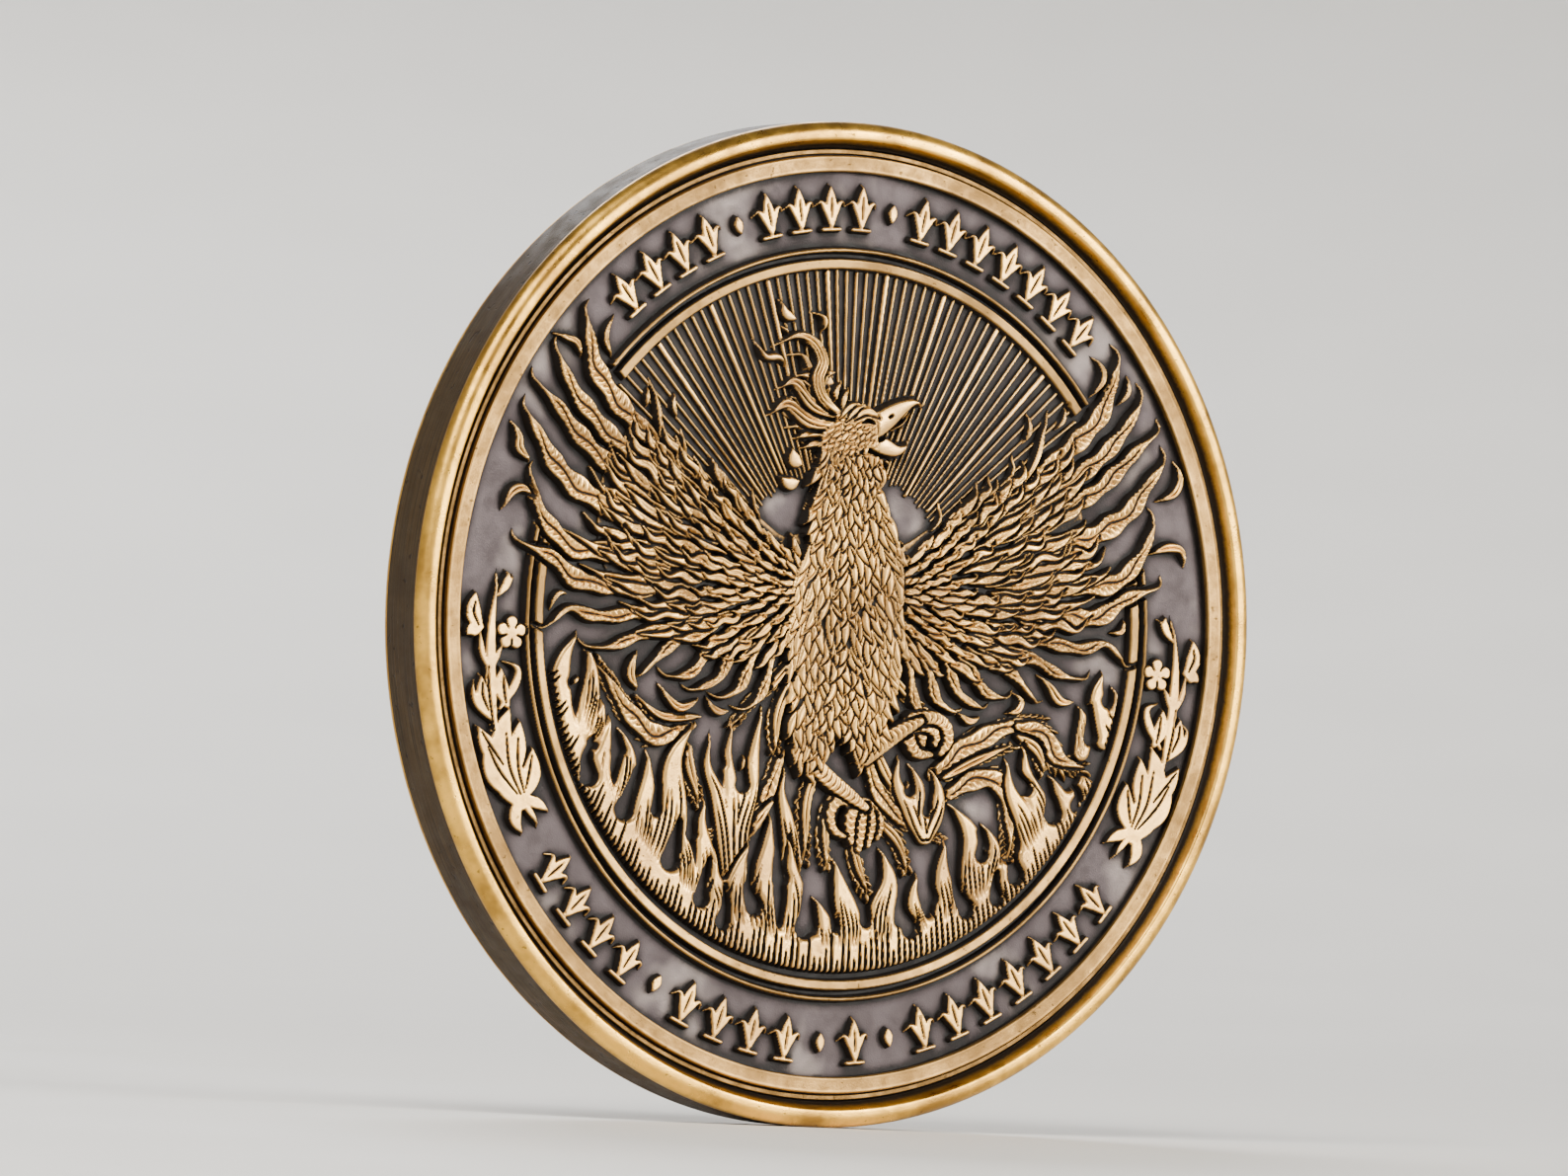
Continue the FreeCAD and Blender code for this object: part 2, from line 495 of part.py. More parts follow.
def ray(degrees, widths):
    """One ray, a long wedge from the plain ground behind the bird out to the ring."""
    a = math.radians(degrees)
    across = (math.cos(a), -math.sin(a))
    reach = 0.0
    while math.hypot(reach * math.sin(a), RAY_CENTRE_Z + reach * math.cos(a)) < WIDE_RING[0] - 0.02:
        reach += 0.01
    corners = []
    for distance, width, sides in ((RAY_START, widths[0], (-1, 1)), (reach, widths[1], (1, -1))):
        for s in sides:
            x = distance * math.sin(a) + s * width / 2 * across[0]
            z = RAY_CENTRE_Z + distance * math.cos(a) + s * width / 2 * across[1]
            corners.append((x, z))
    return polygon(corners)


def ray_faces(wide):
    faces = []
    step = RAY_PITCH / FINE_PER_PITCH
    count = int(RAY_LIMIT / step) + 1
    for k in range(-count, count + 1):
        degrees = k * step
        is_wide = (k - FINE_PER_PITCH // 2) % FINE_PER_PITCH == 0
        if is_wide == wide and abs(degrees) <= RAY_LIMIT:
            faces.append(ray(degrees, WIDE_RAY if wide else FINE_RAY))
    return faces


def sprig(flip):
    strokes = mirrored(SPRIG_STROKES) if flip else SPRIG_STROKES
    sign = -1 if flip else 1
    faces = [plume(w, p, root=0.5, peak=0.45) for w, p in strokes]
    x, z, long_radius, short_radius, lean = SPRIG_BUD
    bud = Part.Ellipse(Vector(0, 0, 0), long_radius, short_radius)
    bud_face = Part.Face(Part.Wire([bud.toShape()]))
    bud_face.rotate(Vector(0, 0, 0), Vector(1, 0, 0), 90)
    bud_face.rotate(Vector(0, 0, 0), Vector(0, 1, 0), -(90 - lean * sign))
    bud_face.translate(at(x * sign, z))
    x, z, ring_radius, petal_radius, petals = SPRIG_BLOSSOM
    blossom = [disc(x * sign, z, petal_radius * 1.1)]
    for k in range(petals):
        dx, dz = on_circle(ring_radius, 90 + 360 * k / petals)
        blossom.append(disc(x * sign + dx, z + dz, petal_radius))
    return joined([*faces, bud_face, *blossom])


def palmette_faces(degrees, outward):
    """One palmette of the band, standing on the band's radius and turned to its angle."""
    half, tall, base = PALMETTE_FOOT
    parts = [plume(w, p, root=0.3, peak=0.5) for w, p in PALMETTE]
    parts.append(polygon([(-half, base - tall / 2), (half, base - tall / 2), (half, base + tall / 2),
                          (-half, base + tall / 2)]))
    return placed(joined(parts), degrees, outward)


def placed(region, degrees, outward):
    turn = 90 - degrees if outward else 270 - degrees
    x, z = on_circle(BAND_RADIUS, degrees)
    region = region.copy()
    region.rotate(Vector(0, -FIELD_Y, 0), Vector(0, 1, 0), turn)
    region.translate(Vector(x, 0, z))
    return region


def band(words, limits, outward):
    """Palmettes set like letters in words, with a lozenge in each space between two words."""
    places = sum(words) + len(words) - 1
    step = (limits[1] - limits[0]) / (places - 1)
    half_wide, half_tall = LOZENGE
    lozenge = polygon([(half_wide, 0), (0, half_tall), (-half_wide, 0), (0, -half_tall)])
    regions, place = [], 0
    for number, word in enumerate(words):
        for _ in range(word):
            regions.append(palmette_faces(limits[0] + step * place, outward))
            place += 1
        if number < len(words) - 1:
            regions.append(placed(lozenge, limits[0] + step * place, outward))
            place += 1
    return Part.makeCompound(regions)


def obverse_regions():
    """Every raised region of the obverse, those that stand in front first: (node, relief, region)."""
    def plumes(strokes, **shape):
        return [plume(w, p, **shape) for w, p in strokes]

    right_coverts = [blob(wing_mass()), *plumes(coverts()), *plumes(WING_TOP_TUFTS)]
    left_mass = [(-x, z) for x, z in wing_mass()]
    left_coverts = [blob(left_mass), *plumes(mirrored(coverts())), *plumes(mirrored(WING_TOP_TUFTS))]
    feathers = {"root": 0.5, "peak": 0.35}
    leg = {"root": 0.8, "peak": 0.3}
    return [
        ("phoenix_beak", "beak", joined(plumes(BEAK, root=0.6, peak=0.25))),
        ("phoenix_head", "head", blob(HEAD)),
        ("phoenix_body", "body", blob(NECK_AND_BODY)),
        ("standing_leg", "legs", joined(plumes(STANDING_LEG, **leg))),
        ("raised_leg", "legs", joined(plumes(RAISED_LEG, **leg))),
        ("phoenix_crest", "crest", joined(plumes(CREST, root=0.3))),
        ("crest_sparks", "loose", Part.makeCompound(plumes(CREST_SPARKS))),
        ("right_wing_coverts", "coverts", joined(right_coverts)),
        ("left_wing_coverts", "coverts", joined(left_coverts)),
        ("right_wing_feathers", "feathers", joined(plumes(WING_FEATHERS, **feathers))),
        ("left_wing_feathers", "feathers", joined(plumes(mirrored(WING_FEATHERS), **feathers))),
        ("front_flames", "flames", front_flames()),
        ("back_flames", "back_flames", joined(plumes(BACK_TONGUES, root=0.8, peak=0.3))),
        ("left_loose_flames", "loose",
         Part.makeCompound(plumes(mirrored(LOOSE_FLAMES) + LOOSE_FLAMES_LEFT_ONLY))),
        ("right_loose_flames", "loose", Part.makeCompound(plumes(LOOSE_FLAMES + LOOSE_FLAMES_RIGHT_ONLY))),
        ("left_tail_plumes", "tail", joined(plumes(TAIL_LEFT, root=0.3))),
        ("right_tail_plumes", "tail", joined(plumes(TAIL_RIGHT, root=0.3))),
        ("upper_wide_ring", "ring", sector(*WIDE_RING, *UPPER_ARC)),
        ("upper_thin_ring", "ring", sector(*THIN_RING, *UPPER_ARC)),
        ("lower_wide_ring", "ring", sector(*WIDE_RING, *LOWER_ARC)),
        ("lower_thin_ring", "ring", sector(*THIN_RING, *LOWER_ARC)),
        ("wide_rays", "rays", Part.makeCompound(ray_faces(wide=True))),
        ("fine_rays", "rays", Part.makeCompound(ray_faces(wide=False))),
        ("left_sprig", "sprig", sprig(flip=False)),
        ("right_sprig", "sprig", sprig(flip=True)),
        ("upper_band_ornament", "ornament", band(UPPER_WORDS, UPPER_BAND, outward=True)),
        ("lower_band_ornament", "ornament", band(LOWER_WORDS, LOWER_BAND, outward=False)),
    ]


def reverse_pieces():
    bead_faces = []
    for k in range(REVERSE_BEADS):
        x, z = on_circle(BAND_RADIUS, 360 * (k + 0.5) / REVERSE_BEADS)
        bead_faces.append(disc(x, z, BEAD_RADIUS, REVERSE))
    start, end, narrow, wide = REVERSE_RAY
    ray_polygons = []
    for k in range(REVERSE_RAYS):
        a = math.radians(360 * k / REVERSE_RAYS)
        corners = []
        for distance, width, sides in ((start, narrow, (-1, 1)), (end, wide, (1, -1))):
            for s in sides:
                x = distance * math.sin(a) + s * width / 2 * math.cos(a)
                z = distance * math.cos(a) - s * width / 2 * math.sin(a)
                corners.append((x, z))
        ray_polygons.append(polygon(corners, REVERSE))
    flames = joined([plume(w, p, root=0.5, peak=0.35, side=REVERSE) for w, p in REVERSE_FLAMES])
    medal = disc(0, 0, MEDALLION_RADIUS, REVERSE).cut(disc(0, 0, MEDALLION_RADIUS - 0.7, REVERSE))
    return {
        "reverse_beads": raised(Part.makeCompound(bead_faces), RELIEF["loose"], REVERSE),
        "reverse_rays": raised(Part.makeCompound(ray_polygons), RELIEF["rays"], REVERSE),
        "reverse_medallion_ring": raised(medal, RELIEF["ornament"], REVERSE),
        "reverse_flames": raised(flames, RELIEF["flames"], REVERSE),
    }


def nodes():
    made = {
        "coin_blank": blank(),
        "obverse_rim": rim(OBVERSE),
        "reverse_rim": rim(REVERSE),
        "obverse_step_ring": flat_ring(STEP_RING, RELIEF["step"], OBVERSE, 0.04),
        "obverse_outer_ring": flat_ring(OUTER_RING, RING_RELIEF, OBVERSE, 0.10),
        "reverse_step_ring": flat_ring(STEP_RING, RELIEF["step"], REVERSE, 0.04),
        "reverse_outer_ring": flat_ring(OUTER_RING, RING_RELIEF, REVERSE, 0.10),
        "reverse_inner_ring": flat_ring(WIDE_RING, RING_RELIEF, REVERSE, 0.10),
        "reverse_thin_ring": flat_ring(THIN_RING, RING_RELIEF, REVERSE, 0.08),
    }
    in_front = []
    for node, relief, region in obverse_regions():
        height = RING_RELIEF if relief == "ring" else RELIEF[relief]
        made[node] = raised(uncovered(region, in_front), height)
        in_front += region.Faces
    made.update(reverse_pieces())
    return made


def main():
    os.makedirs("parts", exist_ok=True)
    for name, shape in nodes().items():
        solids = shape.Solids
        assert solids and all(s.isValid() for s in solids), name
        shape.exportStep(f"parts/{name}.step")
        print(f"{name}: {len(solids)} solids, {shape.Volume:.2f} mm3")


main()
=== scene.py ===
"""Looks for the 50 mm challenge coin: antique brass with a phoenix relief, standing on its edge.

The frame is the CAD's: the coin's axis is Y, the obverse faces -Y, +Z is up and the origin is the coin's
centre. Everything is worked out in millimetres and turned into metres when a mesh is made. Each face of
the coin is one field of heights on a square grid. Forms are laid over it from back to front, and each
named region is then cut out of the field as its own closed mesh.
"""
import math

import bpy
import numpy as np
from mathutils import Matrix, Vector


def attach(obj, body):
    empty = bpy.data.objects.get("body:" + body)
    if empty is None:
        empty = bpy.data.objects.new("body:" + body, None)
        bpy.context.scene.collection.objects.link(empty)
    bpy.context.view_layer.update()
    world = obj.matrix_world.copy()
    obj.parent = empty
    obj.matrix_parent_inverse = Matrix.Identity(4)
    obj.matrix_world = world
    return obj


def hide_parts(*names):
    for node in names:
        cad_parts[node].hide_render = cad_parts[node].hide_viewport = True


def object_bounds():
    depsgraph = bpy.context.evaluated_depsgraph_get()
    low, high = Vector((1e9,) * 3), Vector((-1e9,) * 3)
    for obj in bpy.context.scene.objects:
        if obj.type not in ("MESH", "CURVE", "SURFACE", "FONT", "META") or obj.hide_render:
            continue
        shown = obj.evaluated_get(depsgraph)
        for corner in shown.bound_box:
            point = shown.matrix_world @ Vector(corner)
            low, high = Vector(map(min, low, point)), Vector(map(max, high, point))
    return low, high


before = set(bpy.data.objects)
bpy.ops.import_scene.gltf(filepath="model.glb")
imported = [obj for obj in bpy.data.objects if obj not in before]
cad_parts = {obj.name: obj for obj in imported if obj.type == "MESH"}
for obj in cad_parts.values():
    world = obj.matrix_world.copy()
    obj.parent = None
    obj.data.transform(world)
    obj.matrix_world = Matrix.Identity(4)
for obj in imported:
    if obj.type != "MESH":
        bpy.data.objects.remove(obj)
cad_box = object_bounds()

MM = 0.001

# ---- the coin, in millimetres ----
COIN_RADIUS = round(cad_box[1][0] / MM, 2)
RIM_Y = round(cad_box[1][1] / MM, 2)  # half the coin's thickness
FIELD_Y = 1.10  # where the flat field lies
RING_TOP = 0.45  # the rings stand this far above the field
OBVERSE, REVERSE = -1, 1

OUTER_RING = (22.50, 23.30)
STEP_RING = (23.40, 23.62)
THIN_RING = (18.42, 18.80)
THIN_RING_CREST = 18.56
WIDE_RING = (17.60, 18.26)
UPPER_ARC = (39.5, 140.5)  # degrees, counterclockwise from +X
LOWER_ARC = (166.5, 373.5)
SHOULDER_Y = 1.23  # the edge is straight up to here, where the rim's round shoulder starts
SHOULDER = 0.6  # how far in from the edge the shoulder's rounding starts
RIM_SEAT = 24.5  # the field runs under the rim out to this radius
SUNK = 0.22  # each relief piece goes this far down into the blank

# rings turned all the way round: inner and outer radius, height, softness of the shoulders, wear (the
# shoulders also get a painted highlight)
BORDER_RINGS = {
    "outer_ring": (*OUTER_RING, RING_TOP, 0.09, 1.0),
    "step_ring": (*STEP_RING, 0.14, 0.04, 0.55),
}
INNER_RINGS = {
    "inner_ring": (*WIDE_RING, RING_TOP, 0.09, 1.0),
    "thin_ring": (*THIN_RING, RING_TOP, 0.12, 1.0),
}
TURNED_RINGS = {OBVERSE: BORDER_RINGS, REVERSE: {**BORDER_RINGS, **INNER_RINGS}}
# the blank's rings of points: radius where a spacing starts, spacing, points in each ring
BLANK_ZONES = {OBVERSE: [(0.0, 0.30, 192), (6.0, 0.26, 384), (12.0, 0.22, 768)],
               REVERSE: [(0.0, 0.30, 192), (6.0, 0.30, 384), (12.0, 0.38, 768)]}

FAR = 9.0  # a distance outside a form that is past any of its effects
EVERYWHERE = (slice(None), slice(None))
FACE_REACH = 22.48  # the grid covers the face this far out, just inside the outer ring
# how polished the edge is, from 0 to 1, and how far off, in millimetres, things count as near: for
# telling high ground from low, and for the dark line beside the relief and the halo round it, both
# patina plus painted shade
EDGE_WEAR = 0.62
BUMP_REACH = 0.13
SHADE_REACHES = (0.10, 0.42)

SEED = 7

# ---- the design: strokes are (width, [(x, z), ... from root to tip]) ----
# The wing is drawn for the right side and mirrored for the left.
WING_FEATHERS = [
    (0.62, [(3.9, -0.8), (4.2, -2.0), (4.4, -3.0), (4.8, -3.9), (5.7, -4.5)]),
    (0.66, [(4.5, -0.6), (5.2, -1.7), (5.6, -2.7), (6.0, -3.5), (7.1, -4.0)]),
    (0.66, [(5.2, -0.4), (6.3, -1.3), (6.8, -2.3), (7.3, -3.1), (8.7, -3.7)]),
    (0.70, [(5.9, -0.1), (7.1, -1.0), (8.1, -2.0), (8.9, -2.9), (10.2, -3.1)]),
    (0.66, [(6.8, 0.2), (8.6, -0.6), (10.0, -1.5), (11.1, -2.4), (12.0, -3.2)]),
    (0.72, [(7.8, 0.1), (9.9, -0.6), (11.8, -1.1), (13.5, -1.8), (15.0, -1.9)]),
    (0.78, [(8.4, 0.5), (12.0, -0.1), (14.6, -0.4), (16.2, -0.1), (17.5, -1.1)]),
    (1.05, [(9.4, 1.4), (13.4, 1.2), (15.7, 1.3), (17.3, 2.3), (19.3, 3.0)]),
    (1.10, [(9.6, 2.9), (14.0, 2.8), (16.4, 3.0), (18.1, 4.5), (18.8, 6.4)]),
    (1.20, [(10.0, 4.2), (14.6, 5.2), (17.0, 6.5), (18.3, 8.1), (19.3, 9.5)]),
    (1.00, [(10.2, 5.4), (14.3, 7.1), (16.3, 8.6), (17.5, 9.8), (18.8, 10.9)]),
    (1.00, [(10.2, 6.4), (13.8, 8.2), (15.8, 9.8), (16.9, 11.1), (17.7, 12.6)]),
    (1.15, [(10.0, 7.2), (13.2, 9.5), (15.1, 11.4), (15.7, 12.9), (16.1, 14.5)]),
]
WING_TOP_TUFTS = [
    (0.52, [(10.6, 7.7), (11.3, 9.0), (11.65, 10.3), (12.1, 11.6)]),
    (0.36, [(9.6, 7.3), (9.9, 8.2), (10.0, 9.2)]),
    (0.36, [(7.3, 6.2), (7.7, 6.9), (7.9, 7.7)]),
    (0.34, [(5.2, 5.0), (5.6, 5.6), (5.6, 6.5)]),
    (0.36, [(8.4, 6.7), (8.9, 7.2), (9.2, 7.9)]),
    (0.36, [(6.2, 5.6), (6.8, 6.1), (7.0, 6.7)]),
]
WING_MASS = [
    (2.2, 4.2), (3.6, 4.2), (5.0, 5.0), (7.4, 6.5), (9.2, 7.5), (11.2, 8.8), (12.8, 8.6), (14.2, 7.4),
    (14.6, 5.2), (14.4, 2.6), (13.0, 0.9), (11.0, 0.1), (8.8, -0.7), (6.6, -1.5), (4.6, -1.9), (3.0, -1.2),
    (2.2, 1.0),
]
WING_ROOT = (2.2, 2.0)
# rows of wing feathers, the farthest first: distance, first and last angle, count, length, width
COVERT_ROWS = [
    (9.6, 2, 33, 8, 4.4, 0.60), (8.7, -7, 34, 10, 4.2, 0.58), (7.7, -14, 36, 11, 3.9, 0.56),
    (6.8, -22, 37, 12, 3.5, 0.54), (5.9, -31, 38, 12, 3.1, 0.52), (5.0, -41, 40, 12, 2.7, 0.50),
    (4.2, -51, 41, 12, 2.2, 0.46), (3.4, -60, 42, 12, 1.9, 0.44), (2.7, -67, 44, 11, 1.6, 0.42),
    (2.0, -74, 46, 10, 1.4, 0.40), (1.3, -80, 52, 9, 1.3, 0.40), (0.7, -85, 60, 8, 1.2, 0.40),
]

LOOSE_FLAMES = [
    (0.50, [(14.6, 12.3), (15.2, 13.2), (15.1, 13.9), (14.5, 14.4)]),
    (0.44, [(16.3, 12.0), (16.8, 12.7), (16.85, 13.6)]),
    (0.36, [(12.5, 10.5), (12.9, 11.0), (13.1, 11.8)]),
    (0.42, [(10.6, 9.7), (10.85, 10.4), (10.75, 11.3)]),
    (0.62, [(19.0, 7.3), (20.0, 7.8), (20.3, 8.6), (19.95, 9.5)]),
    (0.66, [(18.7, 4.6), (19.7, 5.0), (20.6, 4.9), (21.0, 4.0)]),
    (0.46, [(16.5, 0.5), (17.1, 0.6), (17.35, 1.3)]),
]
LOOSE_LEFT = [
    (0.46, [(-14.3, 12.3), (-14.8, 13.1), (-14.7, 13.8), (-14.2, 14.5)]),
    (0.52, [(-16.1, 12.2), (-16.5, 12.9), (-17.1, 13.1), (-17.9, 13.3)]),
    (0.36, [(-12.15, 10.0), (-12.2, 10.5), (-12.1, 11.1)]),
    (0.42, [(-10.35, 9.6), (-10.65, 10.2), (-10.5, 10.9)]),
    (0.66, [(-18.8, 6.9), (-19.5, 7.5), (-19.6, 8.1), (-20.0, 8.9)]),
    (0.66, [(-18.6, 5.3), (-19.3, 5.6), (-19.9, 5.3), (-20.3, 4.4)]),
    (0.42, [(-16.2, 0.6), (-16.8, 0.6), (-17.1, 0.2), (-17.15, -0.3)]),
    (0.62, [(-8.2, -4.1), (-9.3, -4.6), (-10.1, -4.2), (-10.7, -3.4)]),
    (0.56, [(-6.4, -4.6), (-7.1, -4.7), (-7.6, -4.4), (-7.8, -3.9)]),
    (0.66, [(-11.9, -3.9), (-12.4, -3.2), (-12.3, -2.4), (-11.9, -1.9)]),
]
LOOSE_RIGHT = [
    (0.70, [(14.5, -3.1), (13.5, -3.1), (12.8, -2.4), (12.1, -1.8)]),
    (0.56, [(10.3, -3.9), (10.9, -3.7), (11.1, -3.2), (10.7, -2.8)]),
    (0.56, [(7.3, -4.0), (8.0, -4.4), (8.8, -4.1)]),
]

BODY = [
    (1.6, 9.1), (2.0, 7.4), (2.5, 5.5), (3.2, 3.8), (3.6, 1.8), (3.65, -0.4), (3.35, -2.4),
    (2.9, -4.4), (2.1, -6.0), (1.45, -6.9), (0.8, -6.3), (0.15, -5.1), (-0.6, -6.1), (-1.2, -7.2),
    (-1.9, -7.3), (-2.6, -6.1), (-2.85, -4.2), (-2.95, -2.0), (-3.0, 0.2), (-2.75, 2.4),
    (-2.2, 4.6), (-2.05, 6.6), (-1.85, 8.3), (-1.4, 9.4),
]
BODY_BOTTOM, BODY_TOP, BODY_LEFT, BODY_RIGHT = -7.2, 9.3, -3.5, 4.1
# body feathers, from the tail up to the neck: where, how far apart in a row, and how far apart the rows are
BODY_LEVELS = (-7, 0, 5, 9)
FEATHER_PITCH = (0.56, 0.62, 0.56, 0.42)
ROW_PITCH = (0.46, 0.56, 0.50, 0.34)
# levels and, for each, the feathers' size and the x of the body's middle
FEATHER_SIZE = ((-7, 0, 5, 8.0, 9.3), (0.95, 1.2, 1.15, 0.85, 0.5))
BODY_MIDDLE = ((-7, -3, 0, 4, 9), (0.0, 0.1, 0.3, 0.4, 0.0))
HEAD = [
    (1.35, 8.9), (1.45, 9.5), (1.35, 10.2), (1.1, 10.8), (0.3, 11.05), (-0.6, 10.7), (-1.2, 10.0),
    (-1.6, 9.2), (-0.4, 8.7),
]
BROWS = [
    (0.34, [(-0.9, 10.2), (-0.4, 10.8), (0.3, 11.05)]),
    (0.36, [(-0.5, 10.1), (0.0, 10.65), (0.8, 10.95)]),
    (0.44, [(0.0, 10.25), (0.5, 10.62), (1.0, 10.62), (1.5, 10.36)]),
]
EYE = (0.22, [(0.50, 10.12), (0.85, 10.20), (1.2, 10.12)])
UPPER_BEAK = (1.42, [(0.95, 9.65), (1.85, 10.3), (2.8, 10.95), (3.6, 11.3), (4.4, 11.1)])
LOWER_BEAK = (1.10, [(1.0, 9.3), (1.9, 9.0), (2.8, 8.85), (3.6, 9.4)])
TONGUE = (0.22, [(2.5, 9.85), (3.15, 10.25), (3.75, 10.95)])
NOSTRIL = (2.15, 10.5)
CREST = [
    (0.56, [(-1.2, 9.1), (-2.1, 8.95), (-3.0, 8.55)]),
    (0.62, [(-1.1, 9.5), (-2.3, 9.45), (-3.5, 9.0)]),
    (0.52, [(-1.4, 9.8), (-2.6, 9.8), (-3.9, 9.55)]),
    (1.00, [(-1.0, 9.9), (-2.6, 10.1), (-4.0, 10.75), (-5.05, 10.05)]),
    (0.52, [(-1.5, 10.5), (-2.7, 10.75), (-3.75, 11.15)]),
    (0.95, [(-1.0, 10.4), (-2.4, 10.9), (-3.6, 11.85), (-4.55, 11.4)]),
    (0.50, [(-1.6, 11.0), (-2.6, 11.7), (-2.8, 12.6), (-3.2, 13.2), (-4.0, 13.15)]),
    (0.44, [(-2.0, 11.8), (-2.8, 12.2), (-3.5, 12.15)]),
    (0.46, [(-1.9, 11.5), (-1.75, 12.3), (-1.0, 12.5)]),
    (0.42, [(-1.2, 10.9), (-1.1, 11.6), (-0.65, 12.1)]),
    (0.42, [(-0.7, 10.7), (-0.6, 11.3), (-0.2, 11.8)]),
    (0.44, [(-1.2, 10.7), (-1.6, 11.3), (-1.4, 11.9)]),
    (0.76, [(-0.8, 10.4), (-1.9, 11.2), (-2.25, 12.1), (-2.0, 13.0), (-2.6, 13.9), (-3.6, 14.15),
            (-4.9, 13.5)]),
]
GROOVED_LEAF = 0.7  # crest leaves wider than this have a cut line on each side of the vein
CREST_MASS = [
    (-0.4, 10.9), (-1.0, 11.9), (-1.6, 12.9), (-2.1, 13.8), (-2.6, 13.6), (-2.5, 12.5), (-2.9, 11.7),
    (-3.6, 11.4), (-3.4, 10.7), (-4.1, 10.3), (-3.4, 9.8), (-2.8, 9.0), (-1.8, 8.5), (-0.8, 9.5),
]
CREST_SPARKS = [
    (0.52, [(-3.6, 14.9), (-4.3, 15.2), (-4.7, 15.95)]),
    (0.34, [(-2.0, 14.4), (-1.95, 15.1), (-2.65, 15.4)]),
    (0.24, [(-4.05, 14.15), (-4.25, 14.4), (-4.45, 14.6)]),
    (0.42, [(-4.1, 12.6), (-4.6, 13.0), (-5.4, 13.0), (-6.0, 13.8)]),
    (0.72, [(-2.9, 7.75), (-3.35, 8.0), (-3.6, 8.65)]),
    (0.66, [(-3.0, 7.0), (-3.6, 6.8), (-4.25, 7.15)]),
]
STANDING_LEG = [
    (0.84, [(-1.6, -6.8), (-0.4, -7.7), (0.8, -8.4), (1.8, -9.0)]),
    (0.56, [(1.2, -8.7), (0.2, -8.75), (-0.25, -9.4), (0.0, -10.2), (0.6, -10.5)]),
    (0.62, [(1.25, -8.8), (0.95, -9.7), (1.05, -10.8)]),
    (0.66, [(1.6, -8.9), (1.6, -9.9), (1.55, -11.1)]),
    (0.62, [(1.95, -8.9), (2.2, -9.8), (2.05, -10.9)]),
    (0.54, [(2.1, -8.9), (2.75, -9.7), (2.65, -10.5)]),
]
RAISED_LEG = [
    (0.84, [(1.7, -6.5), (2.7, -5.8), (3.8, -5.1), (4.9, -4.55)]),
    (0.68, [(4.4, -4.5), (5.7, -4.35), (6.5, -4.75), (6.65, -5.5), (6.2, -6.1)]),
    (0.56, [(4.6, -4.8), (5.4, -4.85), (5.9, -5.2), (5.85, -5.7)]),
    (0.64, [(4.3, -4.8), (4.3, -5.5), (4.8, -6.15), (5.6, -6.2)]),
    (0.54, [(4.7, -4.9), (5.05, -5.3), (5.1, -5.8)]),
]
NARROW_PLUME = 0.75  # a tail plume narrower than this is a plain veined leaf with barbs
NARROW_SPACING, WIDE_SPACING = 0.50, 0.40  # of the barbs along a narrow plume and along a wide one
BARB_TURN = 0.55  # radians between a plume and the barbs on it
BARB_WIDTH = 0.36
# tail plumes with barbs: width, points, and how far barbs stand out on the left and on the right side
TAIL_LEFT = [
    (1.20, [(-8.6, -5.4), (-10.6, -6.0), (-12.1, -5.2), (-13.3, -3.9), (-14.4, -2.6)], 0.30, 0.50),
    (0.60, [(-8.2, -5.0), (-10.2, -5.1), (-11.2, -4.7), (-12.0, -4.0)], 0.25, 0.0),
    (0.80, [(-3.2, -6.4), (-3.8, -8.3), (-5.0, -9.8), (-7.4, -11.0)], 0.20, 0.50),
    (0.70, [(-3.7, -9.0), (-4.9, -10.5), (-6.6, -12.3)], 0.35, 0.45),
    (0.70, [(-9.0, -6.0), (-8.6, -7.6), (-7.9, -9.4)], 0.45, 0.35),
    (0.70, [(-3.0, -3.0), (-3.6, -4.8), (-3.6, -6.8)], 0.35, 0.30),
    (0.60, [(-2.8, -1.8), (-4.0, -3.2), (-5.2, -4.2), (-6.4, -5.6)], 0.30, 0.30),
    (0.66, [(-1.0, -7.0), (-1.6, -9.0), (-1.5, -12.0)], 0.45, 0.45),
    (0.60, [(-0.2, -8.6), (-0.4, -10.4), (-0.1, -12.4)], 0.35, 0.35),
]
TAIL_RIGHT = [
    (1.25, [(6.0, -7.2), (7.8, -5.8), (9.8, -4.8), (11.6, -4.3), (12.9, -4.2)], 0.35, 0.30),
    (0.62, [(6.4, -7.4), (8.2, -6.5), (9.6, -5.9), (11.0, -5.4)], 0.10, 0.35),
    (1.20, [(11.0, -4.5), (12.6, -4.9), (13.7, -6.0), (15.5, -6.4)], 0.40, 0.55),
    (0.70, [(11.0, -5.0), (12.2, -5.6), (12.9, -6.9)], 0.20, 0.45),
    (1.15, [(6.7, -8.3), (8.3, -7.4), (9.9, -7.3), (10.7, -8.8), (10.9, -11.4)], 0.30, 0.50),
    (0.95, [(1.8, -6.4), (3.0, -8.6), (4.8, -9.7), (7.0, -10.5)], 0.30, 0.30),
    (0.70, [(2.2, -5.8), (3.2, -7.4), (4.3, -8.8)], 0.30, 0.30),
    (0.66, [(2.4, -9.4), (4.0, -10.6), (4.8, -12.4)], 0.40, 0.40),
    (0.60, [(1.2, -10.6), (1.8, -12.2), (2.5, -13.4)], 0.45, 0.45),
    (0.60, [(3.0, -2.2), (4.2, -3.3), (5.6, -4.3)], 0.30, 0.30),
]
